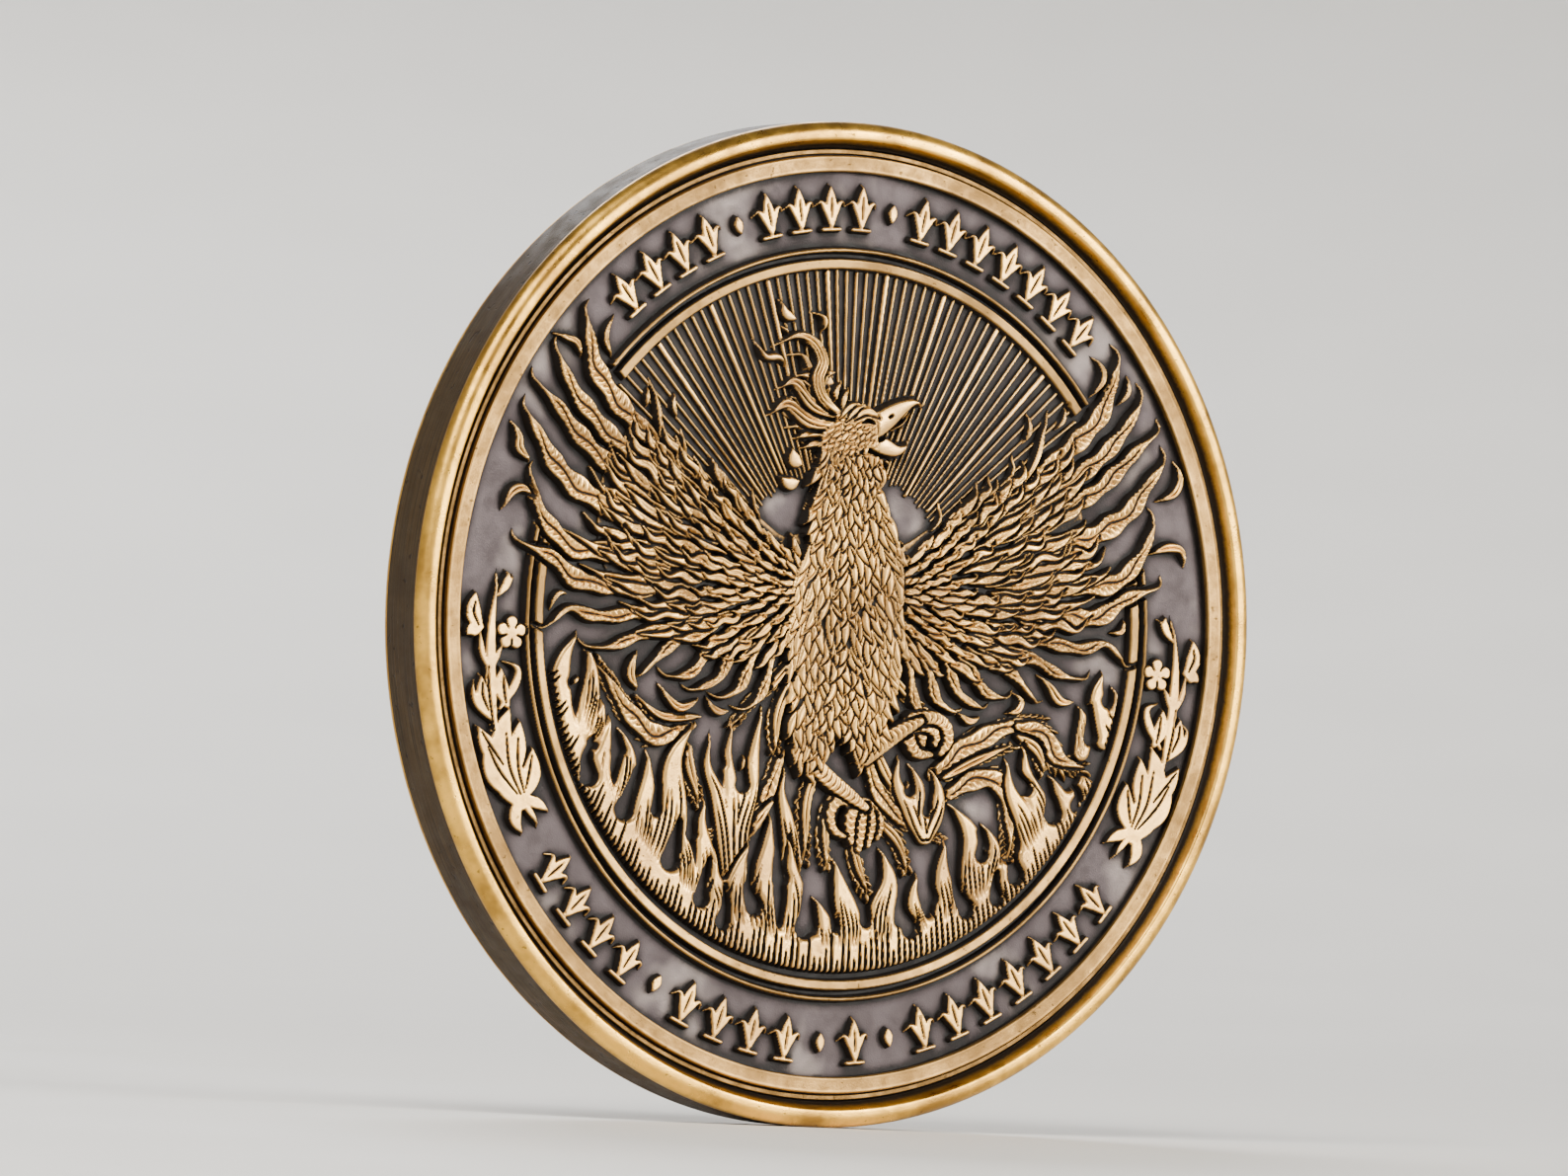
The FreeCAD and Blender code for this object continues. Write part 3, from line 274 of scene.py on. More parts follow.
FRONT_TONGUES = [
    (1.20, [(-16.2, -5.9), (-16.5, -4.0), (-16.3, -2.5), (-15.5, -1.1)]),
    (1.05, [(-15.0, -5.9), (-14.7, -4.2), (-14.7, -2.9), (-15.15, -1.6)]),
    (0.60, [(-14.3, -6.2), (-14.0, -5.4), (-13.9, -4.4)]),
    (0.85, [(-15.1, -9.0), (-15.4, -8.0), (-15.3, -7.2), (-15.2, -6.5)]),
    (1.30, [(-13.2, -10.6), (-13.9, -8.4), (-13.7, -6.8), (-13.4, -5.1)]),
    (1.00, [(-12.7, -9.6), (-12.3, -8.0), (-12.3, -6.9), (-12.9, -5.7)]),
    (1.35, [(-11.6, -12.6), (-11.3, -10.3), (-11.1, -8.5), (-11.15, -6.7)]),
    (1.65, [(-10.6, -13.1), (-9.6, -10.0), (-9.6, -7.2), (-8.4, -5.2)]),
    (0.95, [(-8.6, -14.2), (-8.6, -12.2), (-8.9, -10.8), (-8.85, -9.4)]),
    (1.20, [(-8.0, -14.8), (-7.4, -12.4), (-7.8, -10.4), (-7.6, -8.85)]),
    (1.15, [(-6.9, -15.6), (-6.4, -14.2), (-6.9, -12.8), (-7.0, -11.5)]),
    (1.30, [(-5.4, -16.2), (-5.7, -14.0), (-5.4, -12.3), (-4.8, -10.9)]),
    (1.50, [(-3.6, -16.6), (-4.1, -13.8), (-3.8, -11.5), (-3.7, -9.4)]),
    (1.25, [(-2.2, -16.6), (-1.9, -14.0), (-2.3, -12.2), (-2.55, -10.6)]),
    (1.05, [(0.0, -17.0), (0.1, -15.6), (-0.3, -14.5), (-0.9, -13.5)]),
    (1.45, [(1.3, -17.0), (1.3, -14.9), (0.7, -13.1), (0.15, -11.5)]),
    (1.50, [(3.2, -16.8), (3.2, -14.4), (3.6, -12.6), (2.95, -10.9)]),
    (0.95, [(5.9, -15.8), (5.3, -14.2), (5.1, -13.1), (5.35, -12.0)]),
    (1.30, [(7.2, -15.6), (7.2, -13.8), (6.8, -12.0), (6.9, -10.3)]),
    (1.55, [(9.2, -14.6), (8.8, -12.2), (8.4, -10.0), (7.0, -8.5)]),
    (1.00, [(9.6, -13.4), (9.7, -11.8), (9.9, -10.6), (9.1, -9.4)]),
    (0.90, [(10.9, -13.4), (10.6, -12.6), (10.4, -12.0), (10.5, -11.2)]),
    (1.20, [(12.8, -11.6), (11.7, -9.2), (10.7, -7.7), (10.4, -6.0)]),
    (1.25, [(13.2, -10.8), (12.6, -8.6), (11.7, -7.0), (11.4, -5.3)]),
    (1.05, [(14.1, -9.9), (14.2, -8.9), (13.8, -7.8), (13.1, -6.8)]),
    (0.95, [(15.0, -8.9), (15.6, -8.2), (15.6, -7.5), (15.0, -6.8)]),
    (0.95, [(15.0, -5.6), (15.1, -4.8), (15.0, -4.0), (14.7, -3.2)]),
    (1.10, [(16.4, -4.9), (16.0, -3.7), (15.8, -2.6), (16.15, -1.35)]),
    (0.75, [(16.8, -4.7), (17.0, -3.8), (17.0, -2.9), (16.75, -2.1)]),
]
# the dark drops between the tongues: width of the round end, and its points from that end upward
FLAME_GAPS = [
    (0.80, [(-15.6, -3.65), (-15.5, -2.8), (-15.35, -2.0)]),
    (0.95, [(-14.55, -8.2), (-14.7, -7.3), (-14.3, -6.3)]),
    (0.80, [(-12.9, -6.85), (-12.95, -6.4), (-13.05, -5.9)]),
    (1.00, [(-12.4, -9.75), (-12.1, -9.0), (-11.8, -7.8)]),
    (0.55, [(-10.5, -9.7), (-10.45, -8.4), (-10.7, -7.2)]),
    (1.10, [(-9.5, -12.05), (-9.3, -11.2), (-9.1, -10.2)]),
    (0.62, [(-8.35, -10.75), (-8.3, -10.2), (-8.3, -9.4)]),
    (0.85, [(-7.6, -13.9), (-7.45, -13.0), (-7.2, -12.0)]),
    (0.75, [(-6.25, -15.0), (-6.1, -14.2), (-6.2, -13.2)]),
    (0.90, [(-4.4, -14.15), (-4.8, -13.2), (-4.6, -11.6)]),
    (0.90, [(-2.95, -12.7), (-3.1, -11.9), (-3.1, -10.8)]),
    (1.05, [(-1.35, -15.1), (-1.3, -14.3), (-1.4, -13.0)]),
    (0.45, [(0.5, -15.0), (0.25, -14.2), (-0.2, -13.2)]),
    (0.62, [(2.3, -14.6), (2.2, -13.6), (2.0, -12.0)]),
    (0.95, [(5.0, -14.85), (4.5, -14.0), (4.5, -12.8)]),
    (0.85, [(6.15, -13.3), (6.05, -12.7), (6.1, -11.6)]),
    (0.90, [(8.35, -13.75), (7.8, -12.9), (7.5, -11.4)]),
    (0.70, [(9.15, -11.0), (9.1, -10.4), (8.9, -9.9)]),
    (0.80, [(10.2, -13.1), (10.1, -12.6), (10.15, -11.9)]),
    (0.90, [(11.3, -11.95), (11.1, -11.3), (11.2, -10.4)]),
    (0.75, [(11.65, -7.55), (11.2, -7.0), (10.9, -6.2)]),
    (1.00, [(13.4, -8.75), (13.3, -8.2), (12.9, -7.3)]),
    (0.66, [(14.85, -8.3), (14.95, -7.8), (14.6, -7.2)]),
    (0.80, [(15.5, -4.8), (15.45, -4.1), (15.4, -3.3)]),
    (0.62, [(16.45, -2.9), (16.5, -2.5), (16.5, -1.8)]),
]
FLAME_FOOT_RADIUS = 17.36
FRINGE_LEAN = 2.3  # degrees that the fringe leans for each millimetre inward, at the sides
FRINGE_PITCH = 1.15  # degrees between wedges
FRINGE_WEDGES = 300
FRINGE_LENGTHS = (0.7, 2.8)
# the foot of the flames: height of its inner edge above the ring, at angles in degrees
FLAME_FOOT = [
    (198, 0.5), (207, 1.2), (217, 1.3), (226, 1.6), (236, 2.0), (246, 1.6), (257, 1.5), (268, 1.7),
    (278, 2.3), (289, 1.5), (299, 1.6), (309, 1.6), (319, 1.4), (329, 1.2), (336, 0.5),
]
BACK_TONGUES = [
    (1.05, [(-5.9, -13.0), (-6.3, -10.8), (-6.9, -8.8), (-7.6, -7.3), (-7.4, -5.6)]),
    (1.15, [(-5.6, -13.0), (-5.9, -10.8), (-6.1, -8.6), (-6.4, -6.8), (-6.15, -4.9)]),
    (1.15, [(-5.3, -12.8), (-5.5, -10.6), (-5.0, -8.4), (-4.8, -6.2), (-4.4, -4.1)]),
    (1.00, [(-2.0, -13.2), (-2.3, -11.4), (-2.7, -9.8), (-3.1, -8.4), (-2.85, -7.1)]),
    (0.95, [(5.5, -10.3), (4.7, -9.0), (3.8, -7.6), (3.9, -6.2)]),
    (0.90, [(5.6, -10.3), (5.3, -9.0), (5.2, -7.8), (4.45, -6.6)]),
    (0.95, [(5.8, -10.3), (6.3, -9.0), (6.35, -7.9), (5.8, -6.8)]),
]
BACK_GAPS = [
    (0.60, [(-6.85, -7.2), (-6.95, -6.5), (-6.9, -5.3)]),
    (0.76, [(-5.45, -8.2), (-5.5, -7.2), (-5.45, -5.8)]),
    (0.56, [(4.60, -8.0), (4.45, -7.4), (4.25, -6.9)]),
    (0.50, [(5.75, -9.0), (5.75, -8.2), (5.5, -7.2)]),
]
# embers that float in the gaps of the flames: x, z, length, width, lean in degrees
EMBERS = [(-15.5, -3.55, 0.55, 0.34, 60), (-5.45, -7.1, 0.85, 0.30, 80), (4.5, -7.75, 0.5, 0.24, 70)]

# ---- the sprig, drawn for the left side and mirrored for the right ----
SPRIG_STROKES = [
    (0.60, [(-20.1, -6.2), (-20.5, -3.6), (-20.6, -1.0), (-20.3, 1.6)]),
    (0.40, [(-20.7, -3.3), (-21.1, -2.4), (-21.3, -1.2)]),
    (0.40, [(-20.5, -3.4), (-20.2, -2.6), (-19.8, -1.9)]),
    (0.46, [(-20.3, 0.3), (-19.9, 0.8), (-19.4, 1.4)]),
    (0.40, [(-20.1, 0.7), (-19.8, 1.2), (-19.9, 1.6)]),
    (0.80, [(-21.3, -1.3), (-21.7, -0.5), (-21.6, 0.5)]),
    (0.60, [(-21.2, -1.2), (-21.8, -0.9), (-22.2, -0.7)]),
    (0.70, [(-21.2, -1.3), (-21.8, -1.5), (-22.1, -1.8)]),
    (0.50, [(-19.9, -5.2), (-19.1, -4.0), (-19.0, -3.2), (-19.9, -2.85)]),
    (0.80, [(-19.5, -5.0), (-19.9, -4.1), (-19.95, -3.1)]),
    (0.46, [(-20.3, -5.8), (-21.2, -5.0), (-21.5, -4.3), (-21.3, -3.8)]),
    (0.80, [(-20.4, -5.6), (-20.9, -4.7), (-21.1, -3.5)]),
    (0.90, [(-19.6, -8.0), (-20.6, -6.9), (-21.2, -6.0)]),
    (1.10, [(-19.3, -8.2), (-19.7, -6.6), (-19.3, -5.0)]),
    (1.00, [(-18.9, -8.4), (-18.8, -7.0), (-18.7, -5.6)]),
    (1.00, [(-18.3, -9.4), (-17.9, -8.3), (-17.9, -6.9)]),
    (1.00, [(-18.9, -9.4), (-20.1, -8.3), (-20.8, -7.0)]),
    (1.60, [(-18.4, -9.7), (-19.2, -8.4), (-19.4, -6.6)]),
    (0.62, [(-18.5, -9.5), (-17.5, -9.7), (-16.65, -10.15)]),
    (0.40, [(-18.5, -9.5), (-17.7, -10.3), (-17.25, -10.95)]),
    (0.70, [(-18.5, -9.4), (-18.7, -10.5), (-18.15, -11.35)]),
]
SPRIG_VEINS = [
    [(-18.5, -9.3), (-19.2, -8.0), (-19.5, -6.4)], [(-18.3, -9.2), (-18.7, -8.0), (-18.8, -6.6)],
    [(-18.7, -9.3), (-19.8, -8.2), (-20.5, -7.1)], [(-18.2, -9.0), (-18.05, -8.2), (-17.95, -7.4)],
    [(-19.6, -7.9), (-20.4, -7.0), (-20.9, -6.4)], [(-20.2, -6.3), (-20.6, -4.4), (-20.7, -3.2)],
    [(-19.6, -4.9), (-19.75, -4.2), (-19.8, -3.6)], [(-20.6, -5.3), (-20.95, -4.6), (-21.0, -4.0)],
    [(-21.4, -1.2), (-21.7, -0.6), (-21.65, -0.1)],
]
SPRIG_BLOSSOM = (-19.45, -1.5, 0.52, 0.40, 5)  # x, z, petal ring radius, petal radius, petals

# ---- the bands of palmettes ----
BAND_RADIUS = 20.72
UPPER_GROUPS = (4, 4, 7)
UPPER_BAND = (131.5, 48.5)
LOWER_GROUPS = (4, 4, 1, 7)
LOWER_BAND = (218.5, 321.0)
PALMETTE_FOOT = [(-0.5, -1.08), (0.5, -1.08)]
PALMETTE = [
    (0.84, [(0.0, -1.0), (0.0, 0.15), (0.0, 1.25)]),
    (0.50, [(0.08, -1.0), (0.24, -0.25), (0.62, 0.28), (0.98, -0.02)]),
    (0.50, [(-0.08, -1.0), (-0.24, -0.25), (-0.62, 0.28), (-0.98, -0.02)]),
    (0.36, PALMETTE_FOOT),
]
LOZENGE = [(0.66, [(0.0, -0.52), (0.0, 0.52)])]

# ---- rays ----
RAY_CENTRE_Z = 0.6
RAY_PITCH = 12.2  # degrees between wide rays
FINE_PER_PITCH = 6
RAY_START = 6.9
RAY_LIMIT = 56.0
WIDE_RAY = (0.05, 0.0065)  # half width at the centre, and how much it grows for each millimetre out
FINE_RAY = (0.02, 0.0042)

# ---- the reverse ----
REVERSE_BEADS = 60
BEAD_RADIUS = 0.42
REVERSE_RAYS = 48
REVERSE_RAY = (7.2, 17.0, 0.22, 0.80)  # start, end, width at the start and at the end
MEDALLION = (5.70, 6.40)
MEDALLION_NOTCHES = 56
REVERSE_FLAMES = [
    (1.6, [(-0.6, -4.3), (-1.9, -2.2), (-2.1, -0.2), (-3.2, 2.0)]),
    (1.6, [(0.6, -4.3), (2.2, -2.4), (1.8, -0.4), (2.9, 1.7)]),
    (2.0, [(0.0, -4.4), (0.5, -1.6), (-0.5, 1.4), (0.3, 4.8)]),
]


# ---- lines and fields ----
def curve(a, b, c, d, t):
    """Points from b to c on a smooth curve that passes a, b, c and d in turn."""
    return 0.5 * (2 * b + (c - a) * t + (2 * a - 5 * b + 4 * c - d) * t**2
                  + (3 * b - a - 3 * c + d) * t**3)


def smooth_line(points, per_span=7):
    """Points along a smooth curve through the given ones."""
    p = np.array(points, float)
    if len(p) == 2:
        return p
    p = np.vstack([2 * p[0] - p[1], p, 2 * p[-1] - p[-2]])
    t = np.linspace(0, 1, per_span, endpoint=False)[:, None]
    return np.vstack([*[curve(*four, t) for four in zip(p, p[1:], p[2:], p[3:])], p[-2:-1]])


def stepped(x, z, heading, reach):
    """The point some way off from another, in a direction given in radians."""
    return x + reach * math.cos(heading), z + reach * math.sin(heading)


def across(line):
    """A vector of length 1 across a line, at each of its points."""
    steps = np.gradient(line, axis=0)
    return np.stack([-steps[:, 1], steps[:, 0]], 1) / np.hypot(steps[:, 0], steps[:, 1])[:, None]


def hooked(points, turn, reach):
    """The points with one more at the end, turned aside by some degrees so that the tip curls."""
    (ax, az), (bx, bz) = points[-2:]
    return [*points, stepped(bx, bz, math.atan2(bz - az, bx - ax) + math.radians(turn), reach)]


def mirrored(strokes):
    """The strokes with left and right swapped."""
    return [(stroke[0], [(-x, z) for x, z in stroke[1]], *stroke[2:]) for stroke in strokes]


def ramp(low, high, value):
    """0 below low, 1 above high, and smooth between."""
    t = np.clip((value - low) / (high - low), 0, 1)
    return t * t * (3 - 2 * t)


def swell(t, root, peak):
    """How wide a stroke is along its length, as a share of its full width."""
    rise = root + (1 - root) * np.sin(np.pi / 2 * np.clip(t / peak, 0, 1)) ** 0.9
    fall = 1 - np.clip((t - peak) / (1 - peak), 0, 1) ** 1.6
    return np.where(t < peak, rise, fall)


def smooth_min(a, b, blend):
    """The lower of two fields, with the crease between them rounded."""
    mix = np.clip(0.5 + 0.5 * (b - a) / blend, 0, 1)
    return b + (a - b) * mix - blend * mix * (1 - mix)


class Relief:
    """One face of the coin: heights above the field on a square grid, and whose height each is."""

    WALL = 3.2  # how steep a form's sides are
    BELOW = -0.10  # bare ground in this array lies under the field, so outlines come out smooth

    def __init__(self, step, reach):
        count = int(round(reach / step))
        self.step = step
        self.ticks = np.arange(-count, count + 1) * step
        shape = (len(self.ticks), len(self.ticks))
        self.height = np.full(shape, self.BELOW)
        self.owner = np.zeros(shape, np.int16)
        self.names = [None]

    def node(self, name):
        """The number by which the grid knows a named region."""
        if name not in self.names:
            self.names.append(name)
        return self.names.index(name)

    def window(self, low, high):
        """The part of the grid between two corners, as slices and as x and z values."""
        first = np.searchsorted(self.ticks, low)
        last = np.searchsorted(self.ticks, high)
        rows, columns = slice(first[1], last[1]), slice(first[0], last[0])
        return (rows, columns), self.ticks[columns][None, :], self.ticks[rows][:, None]

    def near(self, line, margin):
        """Around a line: the window, the share of its length reached, the signed side distance and the
        length in millimetres."""
        where, x, z = self.window(line.min(0) - margin, line.max(0) + margin)
        steps = np.diff(line, axis=0)
        lengths = np.hypot(steps[:, 0], steps[:, 1])
        total = lengths.sum()
        best = np.full((z.shape[0], x.shape[1]), 1e9)
        along, side = np.zeros_like(best), np.zeros_like(best)
        done = 0.0
        for (ax, az), (dx, dz), length in zip(line, steps, lengths):
            share = np.clip(((x - ax) * dx + (z - az) * dz) / length**2, 0, 1)
            ex, ez = x - ax - share * dx, z - az - share * dz
            far = ex * ex + ez * ez
            closer = far < best
            best = np.where(closer, far, best)
            along = np.where(closer, (done + share * length) / total, along)
            side = np.where(closer, dx * ez - dz * ex, side)
            done += length
        return where, along, np.sqrt(best) * np.where(side < 0, -1, 1), total

    def lay(self, where, gap, top, name, foot=0.04, trench=0.10):
        """Lays a form over what is there. gap is how far a point lies outside the form's outline."""
        height, owner, node = self.height[where], self.owner[where], self.node(name)
        flank = foot - self.WALL * gap
        inside = gap < 0
        bare = ~inside & (owner == 0)
        beside = ~inside & ~bare & (gap < trench)
        skirt = bare & (flank > 0)
        height[beside] = np.minimum(height[beside], (foot + self.WALL * 0.6 * gap)[beside])
        height[bare] = np.maximum(height[bare], flank[bare])
        height[inside] = np.minimum(top, flank)[inside]
        owner[inside | skirt] = node

    def engrave(self, line, width, depth, name=None, taper=True):
        """Cuts a groove along a line into what is there."""
        where, along, side, _ = self.near(line, width)
        half = width / 2 * (np.sin(np.pi * np.clip(along, 0.04, 0.96)) ** 0.5 if taper else 1)
        cut = depth * np.clip(1 - (np.abs(side) / half) ** 2, 0, 1)
        owner = self.owner[where]
        mine = owner > 0 if name is None else owner == self.node(name)
        self.height[where] -= np.where(mine, np.minimum(cut, np.maximum(self.height[where] - 0.03, 0)), 0)

    def leaf(self, stroke, name, top=0.34, root=0.2, peak=0.4, crown=0.5, vein=0.0, **edges):
        """A small feather or flame: a swelling stroke with a rounded back and a cut vein."""
        width, points = stroke
        line = smooth_line(points)
        where, along, side, _ = self.near(line, width / 2 + 0.15)
        half = width / 2 * swell(along, root, peak)
        gap = np.abs(side) - half
        share = np.clip(np.abs(side) / np.maximum(half, 0.02), 0, 1)
        back = top * (1 - crown * 0.35 * share**2)
        if vein:
            back = back - vein * np.exp(-(side / 0.045) ** 2) * ramp(0.05, 0.2, along) * ramp(1, 0.7, along)
        self.lay(where, gap, back, name, **edges)

    def plume(self, stroke, name, top=0.36, barb=0.34, root=0.5, peak=0.35, waves=0.10, **edges):
        """A long flame-like feather: a cut shaft that wanders down it and slanting barbs on each side."""
        width, points = stroke
        line = smooth_line(points, 10)
        where, along, side, total = self.near(line, width / 2 + 0.2)
        reached = along * total
        half = width / 2 * swell(along, root, peak) * (1 + waves * np.sin(2 * np.pi * reached / 1.9 + total))
        gap = np.abs(side) - half
        share = np.clip(side / np.maximum(half, 0.05), -1, 1)
        open_part = ramp(0.16, 0.42, half) * ramp(0.97, 0.75, along)
        off = share - 0.22 * np.sin(2 * np.pi * reached / 2.6 + 2 * total)
        shaft = 0.22 * np.exp(-((off / 0.17) ** 2))
        slant = 0.5 - 0.5 * np.cos(2 * np.pi * (reached / barb - 0.9 * np.abs(off)))
        barbs = 0.13 * slant**2 * np.exp(-((np.abs(off) - 0.30) / 0.34) ** 2)
        back = top - 0.05 * share**2 - open_part * np.maximum(shaft, barbs)
        self.lay(where, gap, back, name, **edges)

    def outline(self, points, margin=0.3):
        """The window round a smooth closed outline and how far each of its points lies outside it."""
        p = np.array(points, float)
        ring = np.vstack([p[-2:], p, p[:2]])
        t = np.linspace(0, 1, 6, endpoint=False)[:, None]
        p = np.vstack([curve(*four, t) for four in zip(ring, ring[1:], ring[2:-1], ring[3:])])
        line = np.vstack([p, p[:1]])
        where, _, side, _ = self.near(line, margin)
        _, x, z = self.window(line.min(0) - margin, line.max(0) + margin)
        crossings = np.zeros(side.shape, int)
        for (ax, az), (bx, bz) in zip(line, line[1:]):
            spans = (az > z) != (bz > z)
            if abs(bz - az) > 1e-9:
                crossings += spans & (x < (bx - ax) * (z - az) / (bz - az) + ax)
        return where, np.where(crossings % 2 == 1, -1, 1) * np.abs(side)

    def empty(self):
        """A field over the whole grid that is far outside any form."""
        return np.full(self.height.shape, FAR)

    def polar(self, centre=(0.0, 0.0)):
        """How far each point of the grid is from a centre, and at what angle in degrees."""
        x, z = self.ticks[None, :] - centre[0], self.ticks[:, None] - centre[1]
        return np.hypot(x, z), np.degrees(np.arctan2(z, x)) % 360


# ---- obverse ----
def lay_rays(face):
    """The sunburst: every so often a wide ray, and fine rays between."""
    distance, degrees = face.polar((0, RAY_CENTRE_Z))
    radius, _ = face.polar()
    lean = (90 - degrees + 180) % 360 - 180
    pitch = RAY_PITCH / FINE_PER_PITCH
    number = np.round(lean / pitch)
    side = distance * np.abs(np.sin(np.radians(lean - number * pitch)))
    is_wide = (number - FINE_PER_PITCH // 2) % FINE_PER_PITCH == 0
    reach = (np.abs(lean) < RAY_LIMIT) & (distance > RAY_START) & (radius < WIDE_RING[0] + 0.05)
    start = 0.35 * np.abs(np.sin(number * 2.3))
    for wide, (narrow, growth), top in ((True, WIDE_RAY, 0.24), (False, FINE_RAY, 0.19)):
        half = narrow + growth * distance
        gap = np.maximum(side - half, (RAY_START + start - distance) * 0.5)
        gap = np.where(reach & (is_wide == wide), gap, FAR)
        face.lay(EVERYWHERE, gap, top - 0.4 * side**2, "wide_rays" if wide else "fine_rays", trench=0)


def lay_arcs(face):
    """The wide and the thin inner ring, each broken where the wings cross it."""
    radius, degrees = face.polar()
    for part, (first, last) in (("upper", UPPER_ARC), ("lower", LOWER_ARC)):
        middle, half = (first + last) / 2, (last - first) / 2
        off = np.abs((degrees - middle + 180) % 360 - 180)
        end = (off - half) * np.pi / 180 * radius
        for ring, (inner, outer) in (("wide", WIDE_RING), ("thin", THIN_RING)):
            gap = np.maximum(np.abs(radius - (inner + outer) / 2) - (outer - inner) / 2, end)
            if ring == "wide":
                top = RING_TOP - 0.10 * (outer - radius)
            else:
                top = RING_TOP - 1.4 * (radius - THIN_RING_CREST) ** 2
            face.lay(EVERYWHERE, gap, top, f"{part}_{ring}_ring", trench=0)


def lay_tail_plume(face, stroke, name, rng):
    """A tail plume with barbs that lean forward from both of its edges."""
    width, points, left, right = stroke
    line = smooth_line(points, 10)
    steps = np.diff(line, axis=0)
    place = np.concatenate([[0], np.cumsum(np.hypot(steps[:, 0], steps[:, 1]))])
    narrow = width < NARROW_PLUME
    spacing = NARROW_SPACING if narrow else WIDE_SPACING
    for k in range(int(place[-1] / spacing)):
        s = (k + 0.5) * spacing
        share = s / place[-1]
        at = np.array([np.interp(s, place, line[:, 0]), np.interp(s, place, line[:, 1])])
        ahead = np.array([np.interp(s + 0.1, place, line[:, 0]), np.interp(s + 0.1, place, line[:, 1])])
        heading = math.atan2(*(ahead - at)[::-1])
        half = width / 2 * float(swell(np.array(share), 0.5, 0.35))
        for turn, reach in ((BARB_TURN, left), (-BARB_TURN, right)):
            if reach <= 0:
                continue
            reach = (half + reach) * rng.uniform(0.9, 1.15)
            middle = stepped(*at, heading + turn, reach * 0.7)
            tip = stepped(*middle, heading + turn * 0.5, reach * 0.7)
            face.leaf((BARB_WIDTH, [at, middle, tip]), name, top=0.40, root=0.7, peak=0.45)
    if narrow:
        face.leaf((width, points), name, top=0.46, root=0.5, peak=0.4, vein=0.16)
    else:
        face.plume((width, points), name, top=0.46, barb=0.44)


def flame_bed(face, tongues, gaps, rng, foot=None, root=0.92, fewer=0):
    """Tongues melted into one bed, with lines cut up each tongue and round drops cut between them."""
    field, nearest = face.empty(), face.empty()
    grooves = np.zeros(face.height.shape)
    for width, points in tongues:
        there, along, side, _ = face.near(smooth_line(points, 8), 1.7)
        half = width / 2 * swell(along, root, 0.28)
        gap = np.abs(side) - half
        closer = gap < nearest[there]
        nearest[there] = np.where(closer, gap, nearest[there])
        cut = np.zeros_like(gap)
        count = (4 if width < 1.1 else 5 if width < 1.6 else 6) - fewer
        for k in range(count):
            u = ((k + 0.5) / count * 2 - 1) * 0.82
            last = rng.uniform(0.48, 0.82) - 0.26 * abs(u)
            line_half = 0.058 * np.clip((last - along) / 0.30, 0, 1) ** 0.6
            off = np.abs(side - u * half - 0.05 * np.sin(8 * along + k))
            depth = 0.30 * ramp(0.015, 0.04, line_half)
            cut = np.maximum(cut, depth * np.clip(1 - (off / np.maximum(line_half, 0.01)) ** 2, 0, 1))
        grooves[there] = np.where(closer, cut, grooves[there])
        field[there] = smooth_min(field[there], gap, 0.32)
    if foot is not None:
        field = smooth_min(field, foot, 0.45)
    for width, points in gaps:
        there, along, side, _ = face.near(smooth_line(points, 8), width)
        drop = width / 2 * (1 - 0.80 * along**0.8) - np.abs(side)
        field[there] = -smooth_min(-field[there], -drop, 0.08)
    return field, grooves


def lay_flame_bed(face, field, grooves, top, drop, name):
    """Lays a bed of flames whose tops round off by a small drop towards their outlines."""
    face.lay(EVERYWHERE, field, top - drop * ramp(-0.30, 0.0, field) - grooves, name, trench=0.14)


def lay_flames(face, rng):
    """The front flames on their ring, with a fringe of dark wedges that narrow inward from it."""
    radius, degrees = face.polar()
    angles, heights = zip(*FLAME_FOOT)
    rise = np.interp(degrees, angles, heights) + 0.25
    inward = FLAME_FOOT_RADIUS - radius
    foot = np.maximum(FLAME_FOOT_RADIUS - rise - radius, -inward)
    foot = np.maximum(foot, np.maximum(angles[0] - degrees, degrees - angles[-1]) * 0.3)
    wider = [(width * 1.22, points) for width, points in FRONT_TONGUES]
    field, grooves = flame_bed(face, wider, FLAME_GAPS, rng, foot)
    field = np.maximum(field, -inward)
    degrees = degrees + FRINGE_LEAN * np.clip(inward, 0, 3) * np.clip((270 - degrees) / 60, -1, 1)
    number = np.floor(degrees / FRINGE_PITCH).astype(int) % FRINGE_WEDGES
    lengths = rng.uniform(*FRINGE_LENGTHS, FRINGE_WEDGES)[number]
    lengths *= np.clip(1.25 - np.abs(degrees - 270) / 72, 0.02, 1)
    off = np.abs(np.radians((degrees / FRINGE_PITCH) % 1 * FRINGE_PITCH - FRINGE_PITCH / 2) * radius)
    half = 0.105 * np.clip(1 - inward / lengths, 0, 1) ** 0.8
    wedge = 0.40 * ramp(0.01, 0.03, half) * np.clip(1 - (off / np.maximum(half, 0.01)) ** 2, 0, 1)
    grooves = np.maximum(grooves * ramp(1.2, 2.2, inward), np.where(inward < 3.0, wedge, 0))
    lay_flame_bed(face, field, grooves, 0.48, 0.10, "front_flames")


def lay_back_flames(face, rng):
    """The tongues behind the front flames, and the embers that float in the gaps."""
    wider = [(width * 1.1, points) for width, points in BACK_TONGUES]
    field, grooves = flame_bed(face, wider, BACK_GAPS, rng, root=0.7, fewer=2)
    lay_flame_bed(face, field, grooves, 0.42, 0.08, "back_flames")
    for x, z, length, width, lean in EMBERS:
        a = math.radians(lean)
        ends = [stepped(x, z, a, -length / 2), (x, z), stepped(x, z, a, length / 2)]
        face.leaf((width, ends), "back_flames", top=0.36, root=0.4)


